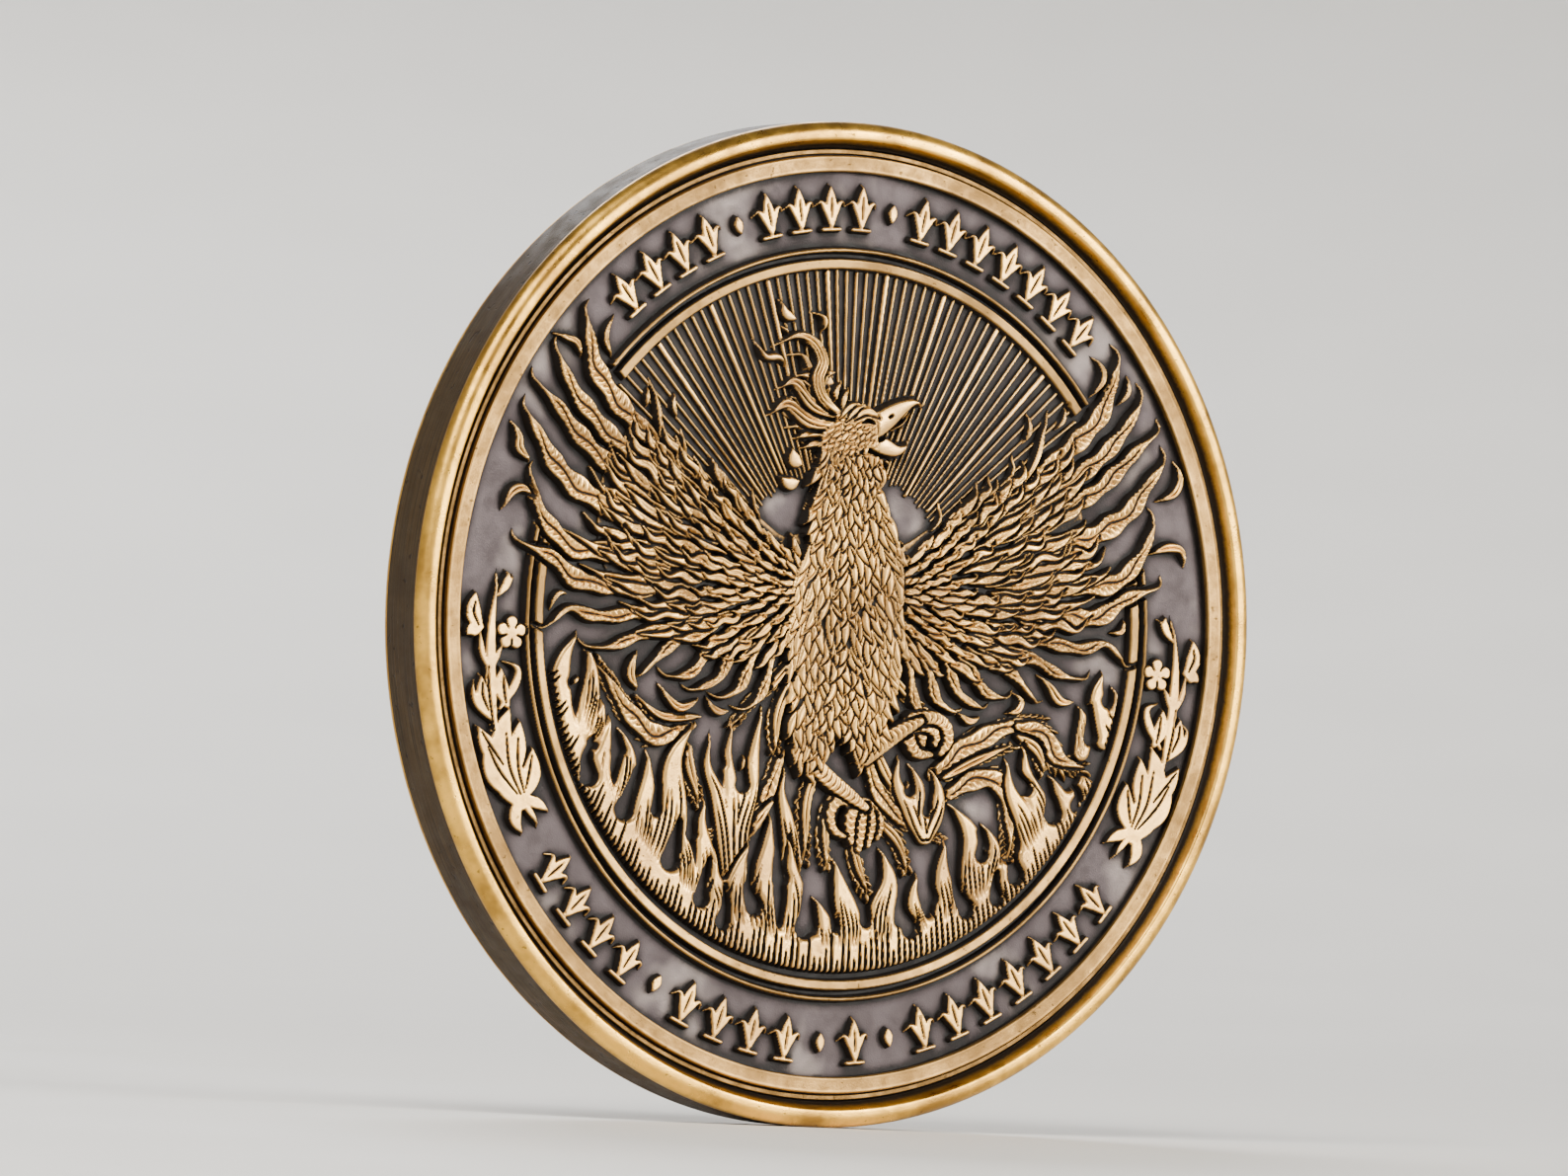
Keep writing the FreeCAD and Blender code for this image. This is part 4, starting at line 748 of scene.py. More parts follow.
def lay_wing(face, sign, rng):
    """One wing: long curled feathers, then rows of coverts laid over their roots."""
    side = "right" if sign > 0 else "left"
    flip = (lambda strokes: strokes) if sign > 0 else mirrored
    curled = [(width * 1.06, hooked(points, 48, 0.75)) for width, points in WING_FEATHERS]
    for stroke in flip(curled):
        face.plume(stroke, f"{side}_wing_feathers", top=0.56, barb=0.36, peak=0.55, waves=0.13)
    coverts = f"{side}_wing_coverts"
    where, gap = face.outline([(sign * x, z) for x, z in WING_MASS])
    inside = (gap < 0) & (face.owner[where] == 0)
    height, owner = face.height[where], face.owner[where]
    height[inside] = np.minimum(0.10, 0.04 - face.WALL * gap)[inside]
    owner[inside] = face.node(coverts)
    for stroke in flip(WING_TOP_TUFTS):
        face.leaf(stroke, coverts, top=0.56, root=0.6, vein=0.12)
    for distance, first, last, count, length, width in COVERT_ROWS:
        for k in range(count):
            degrees = first + (last - first) * (k + 0.5 * (distance * 3 % 2)) / (count - 0.5)
            degrees += rng.uniform(-1.2, 1.2)
            a = math.radians(degrees)
            start = distance * rng.uniform(0.97, 1.03)
            x, z = stepped(*WING_ROOT, a, start)
            points = [(sign * x, z)]
            sway = rng.uniform(-14, 14)
            reach = length * rng.uniform(0.80, 1.2)
            broad = width * rng.uniform(0.8, 1.2)
            for bend in (-4 + sway, 10 - sway, 4 + sway, 34 - sway):
                x, z = stepped(x, z, a + math.radians(bend), reach / 4)
                points.append((sign * x, z))
            lift = 0.58 + 0.06 * float(ramp(9, 2, distance)) + rng.uniform(-0.02, 0.02)
            if length > 2.2:
                face.plume((broad * 1.08, points), coverts, top=lift, barb=0.30, root=0.4, peak=0.45,
                           foot=0.24, trench=0.12)
            else:
                face.leaf((broad, points), coverts, top=lift, root=0.5, peak=0.40, vein=0.10, foot=0.36,
                          trench=0.10)


def lay_loose(face):
    """The small flames that have come away round the wings and tail."""
    loose = {"right_loose_flames": LOOSE_FLAMES + LOOSE_RIGHT, "left_loose_flames": LOOSE_LEFT}
    for name, strokes in loose.items():
        for stroke in strokes:
            face.leaf(stroke, name, top=0.50, root=0.1, peak=0.45, crown=0.6, vein=0.16, trench=0.2)


def lay_crest(face):
    """The crest's leaves, the widest with a cut line on each side of the vein, and its loose sparks."""
    for width, points in CREST_SPARKS:
        face.leaf((width * 1.3, points), "crest_sparks", top=0.50, root=0.15, trench=0.28)
    where, gap = face.outline(CREST_MASS)
    face.lay(where, gap, 0.16, "phoenix_crest", trench=0.25)
    for width, points in CREST:
        face.leaf((width * 1.12, points), "phoenix_crest", top=0.60, root=0.5, vein=0.16,
                  foot=0.16, trench=0.14)
        if width > GROOVED_LEAF:
            line = smooth_line(points, 8)
            part = slice(2, int(0.75 * len(line)))
            for offset in (-0.24, 0.24):
                groove = (line + across(line) * offset * width)[part]
                face.engrave(groove, 0.11, 0.16, "phoenix_crest")


def lay_leg(face, strokes, name):
    """A shank and its toes, ringed with scales. The first stroke is laid last, on top."""
    for width, points in reversed(strokes):
        line = smooth_line(points, 8)
        where, along, side, total = face.near(line, width / 2 + 0.15)
        half = width * 0.60 * (1 - 0.45 * along**3)
        gap = np.abs(side) - half
        scale = np.abs(np.cos(np.pi * (along * total / 0.34 + 0.4 * np.abs(side) / half))) ** 0.6
        back = 0.66 - 0.35 * side**2 - 0.16 * (1 - scale)
        face.lay(where, gap, back, name, foot=0.26, trench=0.08)


def body_feathers(face, rng):
    """Rows of small feathers down the neck and body, laid from the bottom up like shingles."""
    where, gap = face.outline(BODY)
    face.lay(where, gap + 0.15, 0.44, "phoenix_body", trench=0.16)
    full = face.empty().astype(np.float32)
    full[where] = gap
    z = BODY_BOTTOM
    row = 0
    while z < BODY_TOP:
        pitch = float(np.interp(z, BODY_LEVELS, FEATHER_PITCH))
        x = BODY_LEFT + (pitch / 2 if row % 2 else 0)
        while x < BODY_RIGHT:
            px, pz = x + rng.uniform(-0.16, 0.16), z + rng.uniform(-0.18, 0.18)
            i = np.searchsorted(face.ticks, pz)
            j = np.searchsorted(face.ticks, px)
            if full[i, j] < -0.02:
                centre = np.interp(pz, *BODY_MIDDLE)
                spread = float(np.clip((px - centre) / 3.0, -1, 1))
                lean = spread * (0.35 if pz < 3 else 0.75) + rng.uniform(-0.40, 0.40)
                size = float(np.interp(pz, *FEATHER_SIZE))
                length = size * rng.uniform(0.9, 1.45)
                bend = rng.uniform(-0.45, 0.45)
                sine = math.sin(lean)
                points = [
                    (px - 0.25 * length * sine, pz + 0.35 * length),
                    (px + 0.15 * length * sine, pz - 0.15 * length),
                    (px + 0.58 * length * math.sin(lean + bend), pz - 0.66 * length),
                ]
                rise = 0.72 - 0.07 * spread**2
                face.leaf((0.50 * min(size, 1.05), points), "phoenix_body", foot=0.47, trench=0.08,
                          top=rise + rng.uniform(-0.03, 0.01), root=0.7, peak=0.36, crown=0.40)
            x += pitch
        z += float(np.interp(z, BODY_LEVELS, ROW_PITCH))
        row += 1


def lay_head(face, rng):
    """The open beak with its tongue, then the head with small feathers that run back from the beak."""
    face.leaf(TONGUE, "phoenix_beak", top=0.40, root=0.8, peak=0.35, crown=0.8)
    face.leaf(LOWER_BEAK, "phoenix_beak", top=0.60, root=0.9, peak=0.30, crown=0.5)
    face.leaf(UPPER_BEAK, "phoenix_beak", top=0.66, root=0.8, peak=0.20, crown=0.6)
    x, z = NOSTRIL
    nostril = np.array([(x - 0.08, z - 0.03), (x + 0.08, z + 0.05)])
    face.engrave(nostril, 0.17, 0.3, "phoenix_beak", taper=False)
    where, gap = face.outline(HEAD)
    face.lay(where, gap, 0.69 - 0.12 * ramp(-0.5, 0.05, gap), "phoenix_head", foot=0.50, trench=0.04)
    spots = []
    for _ in range(420):
        x, z = rng.uniform(-1.7, 1.7), rng.uniform(8.5, 10.9)
        i, j = np.searchsorted(face.ticks, z), np.searchsorted(face.ticks, x)
        far = math.hypot(x - 1.55, z - 10.0)
        if face.owner[i, j] != face.node("phoenix_head") or far < 0.30 or (x > 0.2 and z > 10.1):
            continue
        if all(math.hypot(x - px, z - pz) > 0.26 for _, px, pz in spots):
            spots.append((far, x, z))
    for far, x, z in sorted(spots, reverse=True):
        heading = math.atan2(z - 10.3, x - 2.4) * 0.6 - math.pi * 0.22 + rng.uniform(-0.25, 0.25)
        if heading > -1.0:
            heading = heading - 2 * math.pi * 0.6
        reach = 0.34 + 0.10 * far
        bend = heading + rng.uniform(-0.3, 0.3)
        middle = stepped(x, z, heading, reach / 2)
        points = [(x, z), middle, stepped(*middle, bend, reach / 2)]
        face.leaf((0.19 + 0.04 * far, points), "phoenix_head", top=0.70, root=0.8, foot=0.52, trench=0.07)
    for brow in BROWS:
        face.leaf(brow, "phoenix_head", top=0.74, root=0.3, peak=0.6, vein=0.08, foot=0.45, trench=0.08)
    face.engrave(smooth_line(EYE[1]), EYE[0] * 1.3, 0.5)


def lay_sprig(face, sign):
    """A sprig beside the ring: leaves and stalks melted together, a blossom, and cut veins."""
    name = "left_sprig" if sign < 0 else "right_sprig"
    field = face.empty()
    for width, points in SPRIG_STROKES if sign < 0 else mirrored(SPRIG_STROKES):
        there, along, side, _ = face.near(smooth_line(points, 8), 0.8)
        field[there] = np.minimum(field[there], np.abs(side) - width * 0.62 * swell(along, 0.5, 0.45))
    x, z, ring, petal, count = SPRIG_BLOSSOM
    x *= -sign
    turns = [math.radians(90 + 180 * k / count) for k in range(2 * count)]
    spots = [(x, z, petal * 1.1), *[(*stepped(x, z, a, ring), petal) for a in turns[::2]]]
    for spot_x, spot_z, radius in spots:
        field = np.minimum(field, face.polar((spot_x, spot_z))[0] - radius)
    face.lay(EVERYWHERE, field, 0.40, name, trench=0)
    for points in SPRIG_VEINS:
        face.engrave(smooth_line([(-sign * px, pz) for px, pz in points]), 0.12, 0.24, name)
    for a in turns[1::2]:
        face.engrave(np.array([stepped(x, z, a, 0.28), stepped(x, z, a, 0.85)]), 0.10, 0.2, name)


def lay_band(face, name, groups, limits, outward):
    """Groups of palmettes round the border, with a lozenge between groups."""
    marks = [mark for group in groups for mark in [PALMETTE] * group + [LOZENGE]][:-1]
    pitch = (limits[1] - limits[0]) / (len(marks) - 1)
    for place, mark in enumerate(marks):
        direction = np.array(stepped(0, 0, math.radians(limits[0] + pitch * place), 1))
        centre = BAND_RADIUS * direction
        up = direction * (1 if outward else -1)
        right = np.array([up[1], -up[0]])
        field = face.empty()
        for width, points in mark:
            line = smooth_line([centre + right * x + up * z for x, z in points], 8)
            there, along, side, _ = face.near(line, 0.8)
            share = 1 if points == PALMETTE_FOOT else swell(along, 0.3, 0.5)
            field[there] = np.minimum(field[there], np.abs(side) - width / 2 * share)
        face.lay(EVERYWHERE, field, 0.41, name, trench=0)
        if mark is PALMETTE:
            face.engrave(np.array([centre + up * -0.55, centre + up * 0.55]), 0.11, 0.16, name)


def build_obverse(step):
    face = Relief(step, FACE_REACH)
    rng = np.random.default_rng(SEED)
    lay_rays(face)
    lay_arcs(face)
    for name, strokes in (("left_tail_plumes", TAIL_LEFT), ("right_tail_plumes", TAIL_RIGHT)):
        for stroke in strokes:
            lay_tail_plume(face, stroke, name, rng)
    lay_back_flames(face, rng)
    lay_flames(face, rng)
    for sign in (-1, 1):
        lay_wing(face, sign, rng)
    lay_loose(face)
    lay_crest(face)
    lay_leg(face, RAISED_LEG, "raised_leg")
    lay_leg(face, STANDING_LEG, "standing_leg")
    body_feathers(face, rng)
    lay_head(face, rng)
    for sign in (-1, 1):
        lay_sprig(face, sign)
    lay_band(face, "upper_band_ornament", UPPER_GROUPS, UPPER_BAND, True)
    lay_band(face, "lower_band_ornament", LOWER_GROUPS, LOWER_BAND, False)
    return face


# ---- reverse ----
def build_reverse(step):
    """The other face: rays, beads, and a small flame in a rope ring."""
    face = Relief(step, FACE_REACH)
    radius, degrees = face.polar()
    start, end, narrow, wide = REVERSE_RAY
    pitch = 360 / REVERSE_RAYS
    lean = (90 - degrees) % 360
    side = radius * np.abs(np.sin(np.radians(lean - np.round(lean / pitch) * pitch)))
    half = np.interp(radius, (start, end), (narrow / 2, wide / 2))
    gap = np.maximum(side - half, np.maximum(start - radius, radius - end))
    face.lay(EVERYWHERE, gap, 0.26 - 0.5 * side, "reverse_rays", trench=0)
    pitch = 360 / REVERSE_BEADS
    lean = degrees - (np.floor(degrees / pitch) + 0.5) * pitch
    far = np.hypot(radius - BAND_RADIUS, np.radians(lean) * BAND_RADIUS)
    face.lay(EVERYWHERE, far - BEAD_RADIUS, 0.40 - 0.9 * far**2, "reverse_beads", trench=0)
    middle, half_wide = sum(MEDALLION) / 2, (MEDALLION[1] - MEDALLION[0]) / 2
    off = radius - middle
    rope = np.abs(np.sin(np.radians(degrees) * MEDALLION_NOTCHES / 2 + 1.6 * off)) ** 0.6
    top = 0.42 - 1.6 * off**2 - 0.14 * (1 - rope)
    face.lay(EVERYWHERE, np.abs(off) - half_wide, top, "reverse_medallion_ring", trench=0)
    for width, points in REVERSE_FLAMES:
        line = smooth_line(points, 12)
        where, along, side, _ = face.near(line, width)
        half = width / 2 * swell(along, 0.5, 0.35)
        top = 0.42 - 0.10 * (side / np.maximum(half, 0.1)) ** 2
        face.lay(where, np.abs(side) - half, top, "reverse_flames", trench=0.14)
        for offset in (-0.30, -0.15, 0.0, 0.15, 0.30):
            reach = 0.80 - 0.9 * abs(offset)
            part = slice(2, int(len(line) * reach))
            inward = 1 - 0.35 * np.linspace(0.05, reach, part.stop - 2)[:, None]
            groove = line[part] + (across(line) * offset * width)[part] * inward
            face.engrave(groove, 0.15, 0.26, "reverse_flames")
    return face


# ---- meshes ----
def blurred(values, spread):
    """A field of values smoothed over spread grid steps."""
    reach = int(3 * spread) + 1
    weights = np.exp(-0.5 * (np.arange(-reach, reach + 1) / spread) ** 2)
    weights /= weights.sum()
    for axis in (0, 1):
        total = np.zeros_like(values)
        for offset, weight in zip(range(-reach, reach + 1), weights):
            total += weight * np.roll(values, offset, axis)
        values = total
    return values


def new_piece(name, points, faces, wear_and_painted_light, normals, material, node):
    """A closed mesh from points in millimetres and arrays of faces, with each point's value for wear,
    patina, painted shade and painted highlight.
    """
    mesh = bpy.data.meshes.new(name)
    mesh.vertices.add(len(points))
    mesh.vertices.foreach_set("co", (np.asarray(points, np.float32) * MM).ravel())
    sizes = np.concatenate([np.full(len(group), group.shape[1]) for group in faces])
    mesh.loops.add(int(sizes.sum()))
    corners = np.concatenate([group.ravel() for group in faces])
    mesh.loops.foreach_set("vertex_index", corners.astype(np.int32))
    mesh.polygons.add(len(sizes))
    starts = np.concatenate([[0], np.cumsum(sizes)[:-1]])
    mesh.polygons.foreach_set("loop_start", starts.astype(np.int32))
    mesh.polygons.foreach_set("use_smooth", np.ones(len(sizes), bool))
    mesh.update(calc_edges=True)
    # one value per point for its wear, patina, painted shade and painted highlight
    attribute = mesh.attributes.new("wear_and_painted_light", "FLOAT", "POINT")
    attribute.data.foreach_set("value", np.asarray(wear_and_painted_light, np.float32))
    mesh.normals_split_custom_set_from_vertices(np.asarray(normals, np.float32))
    mesh.materials.append(material)
    piece = bpy.data.objects.new(name, mesh)
    bpy.context.scene.collection.objects.link(piece)
    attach(piece, "root")
    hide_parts(node)


def wear_and_painted_light_of(face):
    """How bright each point of a relief is: high ground is rubbed bright and its convex crests also get a
    painted highlight, while walls and grooves stay dark with patina and painted shade.
    """
    high = np.where(face.owner > 0, np.maximum(face.height, 0), 0)
    dz, dx = np.gradient(high, face.step)
    bump = high - blurred(high, BUMP_REACH / face.step)
    # concave places go dark: patina plus painted shade
    lifted = ramp(0.02, 0.18, high) * np.clip(1.0 + bump / 0.085, 0, 1)
    # convex crests are lifted brighter: wear plus a painted highlight
    crest_wear_and_highlight = 0.76 + 0.24 * np.clip(bump / 0.03, 0, 1)
    # steep walls go dark: patina plus painted shade
    walls = ramp(1.3, 2.8, np.hypot(dx, dz))
    return lifted * crest_wear_and_highlight * (1 - 0.85 * walls)


def cell_owners(face):
    """Which region each grid cell belongs to, with cells that only touch at a corner joined up."""
    own = face.owner
    cells = own[:-1, :-1].copy()
    for corner in (own[:-1, 1:], own[1:, 1:], own[1:, :-1]):
        cells = np.where(cells > 0, cells, corner)
    for _ in range(12):
        a, b, c, d = cells[:-1, :-1], cells[:-1, 1:], cells[1:, :-1], cells[1:, 1:]
        falling = (a == d) & (a > 0) & (b != a) & (c != a)
        rising = (b == c) & (b > 0) & (a != b) & (d != b) & ~falling
        if not falling.any() and not rising.any():
            break
        i, j = np.nonzero(falling)
        cells[i, j + 1] = cells[i, j]
        i, j = np.nonzero(rising)
        cells[i, j] = cells[i, j + 1]
    return cells


def relief_pieces(face, side, look_for):
    """Cuts each named region of a face out as a closed mesh that stands on the field."""
    cells = cell_owners(face)
    wear_and_painted_light = wear_and_painted_light_of(face)
    dz, dx = np.gradient(face.height, face.step)
    width = len(face.ticks)
    for number, name in enumerate(face.names[1:], 1):
        mask = cells == number
        rows, columns = np.nonzero(mask)
        corner = rows * width + columns
        quads = np.stack([corner, corner + 1, corner + width + 1, corner + width], 1)
        used, quads = np.unique(quads, return_inverse=True)
        quads = quads.reshape(-1, 4)
        count = len(used)
        i, j = used // width, used % width
        x, z, height = face.ticks[j], face.ticks[i], face.height[i, j]
        padded = np.pad(mask, 1)
        walls = []
        for first, (down, aside) in enumerate(((-1, 0), (0, 1), (1, 0), (0, -1))):
            open_side = ~padded[rows + 1 + down, columns + 1 + aside]
            a, b = quads[open_side, first], quads[open_side, (first + 1) % 4]
            walls.append(np.stack([b, a, a + count, b + count], 1))
        faces = np.vstack([quads, quads[:, ::-1] + count, *walls])
        y = np.concatenate([height, np.full(count, -SUNK)]) + FIELD_Y
        x, z = np.tile(x, 2), np.tile(z, 2)
        slopes = np.stack([-dx[i, j], np.full(count, -1.0), -dz[i, j]], 1)
        slopes /= np.linalg.norm(slopes, axis=1)[:, None]
        normals = np.vstack([slopes, np.tile([[0.0, 1.0, 0.0]], (count, 1))])
        points = np.stack([x, -y, z], 1)
        if side == REVERSE:
            points[:, :2] *= -1
            normals[:, :2] *= -1
        values = np.concatenate([wear_and_painted_light[i, j], np.zeros(count)])
        material, slot = look_for(name)
        new_piece(name + "_struck", points, [faces], values, normals, material, name)


def fine_profile(profile, longest=0.10):
    """A closed section with long sides split up: rows of radius, y and the value for wear and painted light.
    """
    rows = []
    for (r0, y0, w0), (r1, y1, w1) in zip(profile, profile[1:] + profile[:1]):
        parts = max(1, int(math.ceil(math.hypot(r1 - r0, y1 - y0) / longest)))
        for k in range(parts):
            t = k / parts
            rows.append((r0 + (r1 - r0) * t, y0 + (y1 - y0) * t, w0 + (w1 - w0) * t))
    return np.array(rows)


def arc(centre_r, centre_y, radius, first, last, wear_and_painted_light, parts=5):
    """Points of a section along an arc: degrees from the outward direction towards +Y."""
    angles = [math.radians(first + (last - first) * k / parts) for k in range(parts + 1)]
    return [(*stepped(centre_r, centre_y, a, radius), wear_and_painted_light) for a in angles]


def turned(name, profile, side, material, node, segments=720):
    """A ring with the given section, which runs counterclockwise in radius and y."""
    rows = fine_profile(profile)
    count = len(rows)
    a = np.linspace(0, 2 * np.pi, segments, endpoint=False)
    x = rows[None, :, 0] * np.cos(a)[:, None]
    z = rows[None, :, 0] * np.sin(a)[:, None]
    y = np.broadcast_to(rows[None, :, 1], x.shape)
    tangent = np.roll(rows[:, :2], -1, 0) - np.roll(rows[:, :2], 1, 0)
    tangent /= np.linalg.norm(tangent, axis=1)[:, None]
    n_r, n_y = tangent[:, 1], -tangent[:, 0]
    normals = np.stack([n_r[None] * np.cos(a)[:, None], np.broadcast_to(n_y[None], x.shape),
                        n_r[None] * np.sin(a)[:, None]], -1).reshape(-1, 3)
    points = np.stack([x, y, z], -1).reshape(-1, 3)
    turn, part = np.meshgrid(np.arange(segments), np.arange(count), indexing="ij")
    turn, part = turn.ravel(), part.ravel()
    next_turn, next_part = (turn + 1) % segments, (part + 1) % count
    quads = np.stack([turn * count + part, turn * count + next_part,
                      next_turn * count + next_part, next_turn * count + part], 1)
    if side == OBVERSE:
        points[:, 1] *= -1
        normals[:, 1] *= -1
        quads = quads[:, ::-1]
    wear_and_painted_light = np.tile(rows[:, 2], segments)
    new_piece(name, points, [quads], wear_and_painted_light, normals, material, node)


def rim_profile():
    """The section of the raised rim: round shoulder, flat crest and the bevel down to the field."""
    shoulder = []
    for a in np.linspace(0, math.pi / 2, 11):
        r, rise = COIN_RADIUS - SHOULDER + SHOULDER * math.cos(a), math.sin(a)
        shoulder.append((r, SHOULDER_Y + 0.62 * rise, EDGE_WEAR + 0.38 * rise))
    crest = [(24.20, RIM_Y, 1.0), (24.13, RIM_Y - 0.012, 1.0), (24.08, RIM_Y - 0.05, 0.95)]
    bevel = [(23.90, 1.42, 0.35), (23.80, 1.20, 0.05), (23.74, 1.13, 0.0), (23.66, FIELD_Y, 0.0)]
    return [*shoulder, *crest, *bevel, (RIM_SEAT, FIELD_Y, 0.0), (RIM_SEAT, SHOULDER_Y, 0.0)]


def ring_profile(inner, outer, relief, soft, wear_and_painted_light):
    """The section of a ring with rounded shoulders and slightly sloping walls, duller in its middle: the
    shoulders are brighter with wear and a painted highlight, and the walls dark with patina and painted
    shade.
    """
    top = FIELD_Y + relief
    # walls dark with patina plus painted shade; shoulders brighter than the middle with wear plus a painted
    # highlight
    lean, wall_tone = 0.05, 0.05
    dull = [(r, top - 0.01, wear_and_painted_light * 0.70) for r in (outer - soft - 0.10, inner + soft + 0.10)]
    return [
        (outer + lean, FIELD_Y - 0.05, 0.0), (outer + lean * 0.6, FIELD_Y + relief * 0.25, wall_tone),
        *arc(outer - soft, top - soft, soft, 10, 90, wear_and_painted_light),
        *(dull if outer - inner > 0.6 else []),
        *arc(inner + soft, top - soft, soft, 90, 170, wear_and_painted_light),
        (inner - lean * 0.6, FIELD_Y + relief * 0.25, wall_tone), (inner - lean, FIELD_Y - 0.05, 0.0),
    ]


def openness(face):
    """How far each point of the field is from anything that stands on it, from 0 to 1."""
    radius, _ = face.polar()
    taken = ((face.owner > 0) | (radius > OUTER_RING[0] - 0.05)).astype(float)
    line, halo = (blurred(taken, reach / face.step) for reach in SHADE_REACHES)
    # the field is painted dark where this is low, beside the relief: patina plus painted shade
    return np.clip(1 - 1.6 * line, 0, 1) * 0.35 + np.clip(1 - 2.6 * halo, 0, 1) * 0.65


def sampled(face, values, x, z):
    """A field's values at some points, and zero beyond the grid."""
    i = np.rint((z - face.ticks[0]) / face.step).astype(int)
    j = np.rint((x - face.ticks[0]) / face.step).astype(int)
    inside = (np.minimum(i, j) >= 0) & (np.maximum(i, j) < len(face.ticks))
    return np.where(inside, values[i * inside, j * inside], 0.0)


def circle(count):
    """The cosines and sines of evenly spaced directions."""
    a = 2 * np.pi * np.arange(count) / count
    return np.cos(a), np.sin(a)


def strip(low, high, count):
    """Quads between two rings of points, given the number of each ring's first point."""
    k = np.arange(count)
    after = (k + 1) % count
    return np.stack([low + k, low + after, high + after, high + k], 1)


def fan(middle, first, count):
    """Triangles from a middle point to the ring round it."""
    k = np.arange(count)
    return np.stack([np.full(count, middle), first + (k + 1) % count, first + k], 1)


def widening(low, high, few):
    """Triangles from a ring of points to the next one out, which has twice as many."""
    k = np.arange(few)
    after, between = (k + 1) % few, high + 2 * k + 1
    sets = ((low + k, low + after, between), (low + k, between, high + 2 * k),
            (low + after, high + 2 * after, between))
    return np.stack([np.stack(corners, 1) for corners in sets], 1).reshape(-1, 3)


def blank_rings(zones):
    """The radius and the number of points of each ring over one field, from the middle out."""
    rings = []
    for (start, spacing, count), (end, *_) in zip(zones, [*zones[1:], (RIM_SEAT,)]):
        parts = max(1, int(round((end - start) / spacing)))
        rings += [(start + (end - start) * k / parts, count) for k in range(parts)]
    return [*rings[1:], (RIM_SEAT, zones[-1][2])]


def blank_piece(faces, material):
    """The struck disc under the relief: both fields and the plain edge as one closed mesh."""
    points, wear_and_painted_light, normals, groups, ends = [], [], [], [], []

    def add(ring, polish_and_shade, ways):
        points.extend(ring)
        wear_and_painted_light.extend(np.broadcast_to(polish_and_shade, len(ring)))
        normals.extend(np.broadcast_to(ways, (len(ring), 3)))
        return len(points) - len(ring)

    for side in (OBVERSE, REVERSE):
        face = faces[side]
        open_ground = openness(face)
        flat = (0.0, side, 0.0)
        before, few = add([(0.0, side * FIELD_Y, 0.0)], 0.0, flat), 1
        for r, count in blank_rings(BLANK_ZONES[side]):
            x, z = (r * way for way in circle(count))
            y = np.full(count, side * FIELD_Y)
            # on the field the value is its openness: low beside the relief, where patina and painted shade
            # go
            polish_and_shade = sampled(face, open_ground, -side * x, z)
            first = add(np.stack([x, y, z], 1), polish_and_shade, flat)
            if few == 1:
                made = fan(before, first, count)
            else:
                made = strip(before, first, count) if few == count else widening(before, first, few)
            groups.append(made if side == REVERSE else made[:, ::-1])
            before, few = first, count
        ends.append(before)
    edge = [(COIN_RADIUS, y) for y in np.linspace(-SHOULDER_Y, SHOULDER_Y, 9)]
    cosine, sine = circle(few)
    loops = [ends[0]]
    for r, y in [(RIM_SEAT, -SHOULDER_Y), *edge, (RIM_SEAT, SHOULDER_Y)]:
        ring = np.stack([r * cosine, np.full(few, y), r * sine], 1)
        outward = np.stack([cosine, 0 * cosine, sine], 1)
        loops.append(add(ring, EDGE_WEAR if r == COIN_RADIUS else 0.0, outward))
    loops.append(ends[1])
    groups += [strip(low, high, few)[:, ::-1] for low, high in zip(loops, loops[1:])]
    new_piece("coin_blank_struck", points, groups, wear_and_painted_light, normals, material, "coin_blank")


